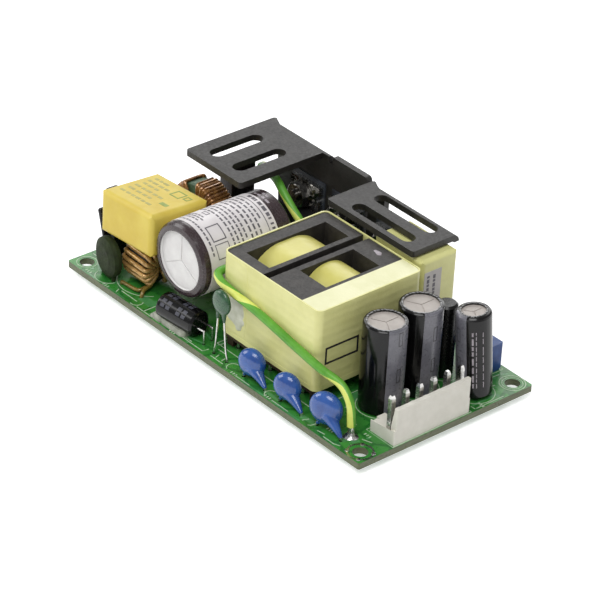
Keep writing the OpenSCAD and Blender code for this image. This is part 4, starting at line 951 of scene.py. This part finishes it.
# Blue discs: key, middle, radius, thickness, yaw, left and right lead
DISCS = (
    ("a", (11.95, -22.5, 3.9), 3.4, 4.0, 16, (10.55, -23.5), (17.86, -23.5)),
    ("b", (23.75, -22.4, 3.9), 3.4, 4.0, 16, (22.6, -23.4), (29.9, -23.4)),
    ("c", (36.0, -22.0, 4.75), 4.0, 4.0, 20, (34.4, -23.0), (42.0, -22.7)),
)


def discs():
    """Dipped round parts: the body runs down into its leads as one soft drop."""
    tail_r = [0.4 + 1.55 * (1 - i / 20) ** 1.2 for i in range(21)]
    for key, (x, y, z), r, t, yaw, left, right in DISCS:
        (lx, ly), (px, py) = left, right
        knee = (0.6 * px + 0.4 * x, 0.5 * (y + py), 0.36 * z + 0.35)
        tail = smooth_path([(x + 0.3 * r, y - 0.1, z - 0.3 * r), knee, (px, py, 0.5)], 10)
        heel = [(x - 0.25 * r, y, z - 0.5 * r), ((lx + x) / 2, ly + 0.3, 1.3), (lx, ly, 0.45)]
        parts = [lens(x, y, z, r, t, yaw), tube(tail, tail_r, 16), tube(heel, [1.0, 0.65, 0.4], 14)]
        name = "safety_disc_" + key
        melt(piece(name + "_body", parts, ["disc_blue"], replaces=(name,)), 0.17, 8)
        leads = [tube([(u, v, TIP), (u, v, 0.0), (u, v, 0.75)], 0.32, 10) for u, v in (left, right)]
        piece(name + "_leads", leads, ["tinned"])
    x, y, z = 1.5, -22.95, 14.0
    parts = [lens(x, y, z, 2.9, 2.3, 0), lens(x, y, z + 0.5, 2.7, 2.2, 0)]
    for d in (-0.9, 0.9):
        line = [(x + d, y, z - 1.6), (x + 1.15 * d, y, z - 3.4), (x + 1.3 * d, y, z - 4.6)]
        parts.append(tube(line, [0.8, 0.5, 0.3], 12))
    melt(piece("green_disc_body", parts, ["disc_green"], replaces=("green_disc",)), 0.15, 10)
    leads = []
    for px, d in ((-0.5, -1.0), (4.1, 1.0)):
        line = [(px, y, TIP), (px, y, 0.2), (px + 0.25 * (x - px), y, 3.0), (x + d, y, z - 3.2)]
        leads.append(tube(smooth_path(line, 6), 0.24, 10))
    piece("green_disc_leads", leads, ["tinned"])


def copied(node, name, mat, move=None):
    """A copy of a CAD node's mesh as a new piece, its points moved by move(x, y, z) in board terms."""
    me = nodes[node].data.copy()
    me.name = name
    if move:
        for v in me.vertices:
            x, y, z = move(v.co.x / MM, v.co.y / MM, v.co.z / MM - DECK)
            v.co = V(x, y, z)
    me.materials.clear()
    me.materials.append(MAT[mat])
    o = bpy.data.objects.new(name, me)
    o.matrix_world = nodes[node].matrix_world
    scene.collection.objects.link(o)
    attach(o, "root")
    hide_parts(node)
    return o


# Either side of the upright plates, well clear of them
UPRIGHT_Y = (22.0, 27.0)


def cut(o, x0, x1, z0, z1):
    """A plain window through a heatsink's upright."""
    me = bpy.data.meshes.new("cutter")
    v = [V(x, y, z) for x in (x0, x1) for y in UPRIGHT_Y for z in (z0, z1)]
    faces = [(0, 1, 3, 2), (4, 6, 7, 5), (0, 4, 5, 1), (2, 3, 7, 6), (0, 2, 6, 4), (1, 5, 7, 3)]
    me.from_pydata(v, [], faces)
    c = bpy.data.objects.new("cutter", me)
    scene.collection.objects.link(c)
    mod = o.modifiers.new("window", "BOOLEAN")
    mod.operation = "DIFFERENCE"
    mod.solver = "EXACT"
    mod.object = c
    applied(o)
    bpy.data.objects.remove(c)
    bpy.data.meshes.remove(me)


HEADER_DROP, STANDBY_RISE, FUSE_DROP, SINK_REACH = 2.0, 1.6, 1.8, 4.2


def low_header(x, y, z):
    """The outer wall lower, and the ribs behind it lower with it."""
    if z > 8.6:
        return x, y, z - HEADER_DROP
    return x, y, 2.4 + (z - 2.4) * 0.3 if z > 2.4 and x < 49.0 else z


def longer_plate(x, y, z):
    """The top plate's open edge further out, and the fold's near end at the plate's corner."""
    d = max(0.0, 25.2 - y) / 26.5 if z > 25.0 else 0.0
    if abs(x + 33.9) < 0.3 and y > 23.4:
        x -= 4.4 * min(1.0, max(0.0, (z - 24.5) / 1.2))
    return x, y - d * d * (0.7 + 0.4 * min(1.0, max(0.0, (-8.0 - x) / 16.0))), z


def reshaped():
    """Parts that the photo shows a little differently from their CAD nodes."""
    copied("output_header", "output_header_low", "header_white", low_header)
    face = lambda x, y, z: (x, TAPE_FRONT_Y - z, y)
    spots = [blob(face, uneven(1.9, 11.0, 3.0, 4.1, 12, 30, 0.1), 0.22)]
    spots.append(blob(face, uneven(3.6, 8.6, 1.5, 1.9, 15, 24, 0.2), 0.26))
    piece("tape_glue_spot", spots, ["smudge"], replaces=("tape_glue",))
    taller = lambda x, y, z: (x, y, z + STANDBY_RISE if z > 15 else z)
    copied("standby_transformer", "standby_transformer_tall", "tape_yellow", taller)
    copied("primary_heatsink", "primary_heatsink_long", "sink_grey", longer_plate)
    shorter = lambda x, y, z: (x, y, z - FUSE_DROP if z > 12 else z)
    melt(copied("line_fuse", "line_fuse_soft", "case_black", shorter), 0.2, 8)
    o = copied("small_can", "small_can_black", "case_black")
    o.data.materials.append(MAT["tinned"])
    for f in o.data.polygons:
        f.material_index = int(f.center.x > (SMALL_AT[0] + 0.15) * MM)
    # Daylight through the far slot, none of the upright past its last leg, and the upright reaching to the
    # other heatsink
    o = copied("output_heatsink", "output_heatsink_open", "sink_grey")
    cut(o, 1.6, 19.8, 19.4, 24.0)
    cut(o, 20.8, 26.0, 0.9, 24.2)
    for v in o.data.vertices:
        if 0.3 * MM < v.co.x < 0.7 * MM and v.co.y > 23.5 * MM:
            v.co.x -= SINK_REACH * MM


# Earth wire
WIRE = (
    (42, -20, 0.9), (41.9, -20, 4), (41, -19.9, 8), (37.5, -19.6, 10.6), (32, -20.55, 12),
    (24, -20.55, 13.2), (11, -20.55, 15.4), (2, -20.55, 16.3), (-2.45, -20.55, 17.4), (-4.15, -18.25, 18),
    (-4.05, -8, 16.6), (-4.8, 2, 15.6), (-7.6, 8.8, 15.6), (-12, 11, 16.3), (-15.2, 11.2, 18.2),
    (-18.3, 11.4, 20.3), (-22.3, 12.2, 22.2), (-27, 13.6, 21.8), (-31.5, 15.5, 20.2), (-34.4, 18.6, 18.2),
    (-37, 20.4, 16), (-40.4, 21.1, 12), (-42.7, 21.4, 7), (-43, 21.5, 0.9),
)
WIRE_R, STRIP_Z, STRAND_R = 0.97, 2.3, 0.21
# Length along the wire in mm, and where the yellow stripe's middle faces round it in degrees
STRIPE = ([0, 9, 15, 19, 36, 43, 48, 160], [195, 170, 95, 40, 8, -137, -190, -1200])
SIDES, YELLOW_SIDES, STRIPE_HALF = 28, 9, 54


def earth_wire():
    """The green cover with its yellow stripe, and seven bare strands at each end."""
    path = smooth_path(WIRE, 8)
    path = [q for q in path if not (q.z < STRIP_Z and (q.x > 41 or q.x < -42))]
    run = [0.0]
    for a, b in zip(path[:-1], path[1:]):
        run.append(run[-1] + (b - a).length)
    lay = [math.radians(np.interp(q, *STRIPE) - STRIPE_HALF) for q in run]
    parts = [tube(path, WIRE_R, SIDES, turn=lambda i: lay[i], tone=lambda k: 1 if k < YELLOW_SIDES else 0)]
    for x, y, _ in (WIRE[0], WIRE[-1]):
        for j in range(7):
            r = 0.0 if j == 6 else 2 * STRAND_R
            line = []
            for z in (TIP, -2.0, -1.0, 0.0, 0.6, 1.2, 1.8, 2.5):
                a = j * 1.047 + z * 0.5
                line.append((x + r * math.cos(a), y + r * math.sin(a), z))
            parts.append(tube(line, STRAND_R, 8)[:2] + (2,))
    mats = ["wire_green", "wire_yellow", "tinned"]
    piece("earth_wire_striped", parts, mats, replaces=("earth_wire",))


# Staging
FLOOR_HALF, FLOOR_Z, FLOOR_GLOW, SKY = 3.0, -0.0002, 0.45, 0.4


def lamp(name, spot, target, size, power):
    d = bpy.data.lights.new(name, "AREA")
    d.shape = "RECTANGLE"
    d.size, d.size_y = size
    d.energy = power
    o = bpy.data.objects.new(name, d)
    o.location = spot
    o.rotation_mode = "QUATERNION"
    o.rotation_quaternion = (Vector(spot) - Vector(target)).to_track_quat("Z", "Y")
    scene.collection.objects.link(o)


def stage():
    """A pale floor and a white sky, both dimmer for all but the camera, and three soft lamps."""
    me = bpy.data.meshes.new("floor")
    s, z = FLOOR_HALF, FLOOR_Z
    me.from_pydata([(-s, -s, z), (s, -s, z), (s, s, z), (-s, s, z)], [], [(0, 1, 2, 3)])
    floor = bpy.data.objects.new("floor", me)
    scene.collection.objects.link(floor)
    m, nt, b = blank("floor")
    fill(nt, b, {"Base Color": (0.9, 0.9, 0.9, 1), "Roughness": 0.9, "Specular IOR Level": 0.0})
    ray = node(nt, "LightPath", {}).outputs
    seen = calc(nt, "MAXIMUM", ray["Is Camera Ray"], ray["Is Glossy Ray"])
    glow = {"Color": (1, 1, 1, 1), "Strength": calc(nt, "MULTIPLY", seen, FLOOR_GLOW)}
    both = node(nt, "AddShader", {0: b.outputs[0], 1: node(nt, "Emission", glow).outputs[0]})
    fill(nt, nt.nodes["Material Output"], {"Surface": both.outputs[0]})
    me.materials.append(m)
    w = bpy.data.worlds.new("world")
    scene.world = w
    w.use_nodes = True
    nt = w.node_tree
    ray = node(nt, "LightPath", {}).outputs
    seen = calc(nt, "MAXIMUM", ray["Is Camera Ray"], ray["Is Transmission Ray"])
    sky = node(nt, "MapRange", {"To Min": SKY, "To Max": 1.0, "Value": seen}).outputs["Result"]
    fill(nt, nt.nodes["Background"], {"Color": (1, 1, 1, 1), "Strength": sky})
    lamp("key", (0.25, -0.35, 0.75), (0, 0, 0), (0.5, 0.5), 4.4)
    lamp("left", (-0.6, -0.35, 0.35), (0, 0, 0.01), (0.4, 0.4), 2.0)
    lamp("back", (-0.58, 0.54, 0.5), (0, 0, 0.01), (0.7, 0.45), 2.7)


make_camera()
make_materials()
dress_nodes()
chokes()
board_pads()
board_silk()
board_tracks()
bulk_marks()
cap_marks()
box_marks()
smears()
discs()
reshaped()
earth_wire()
stage()
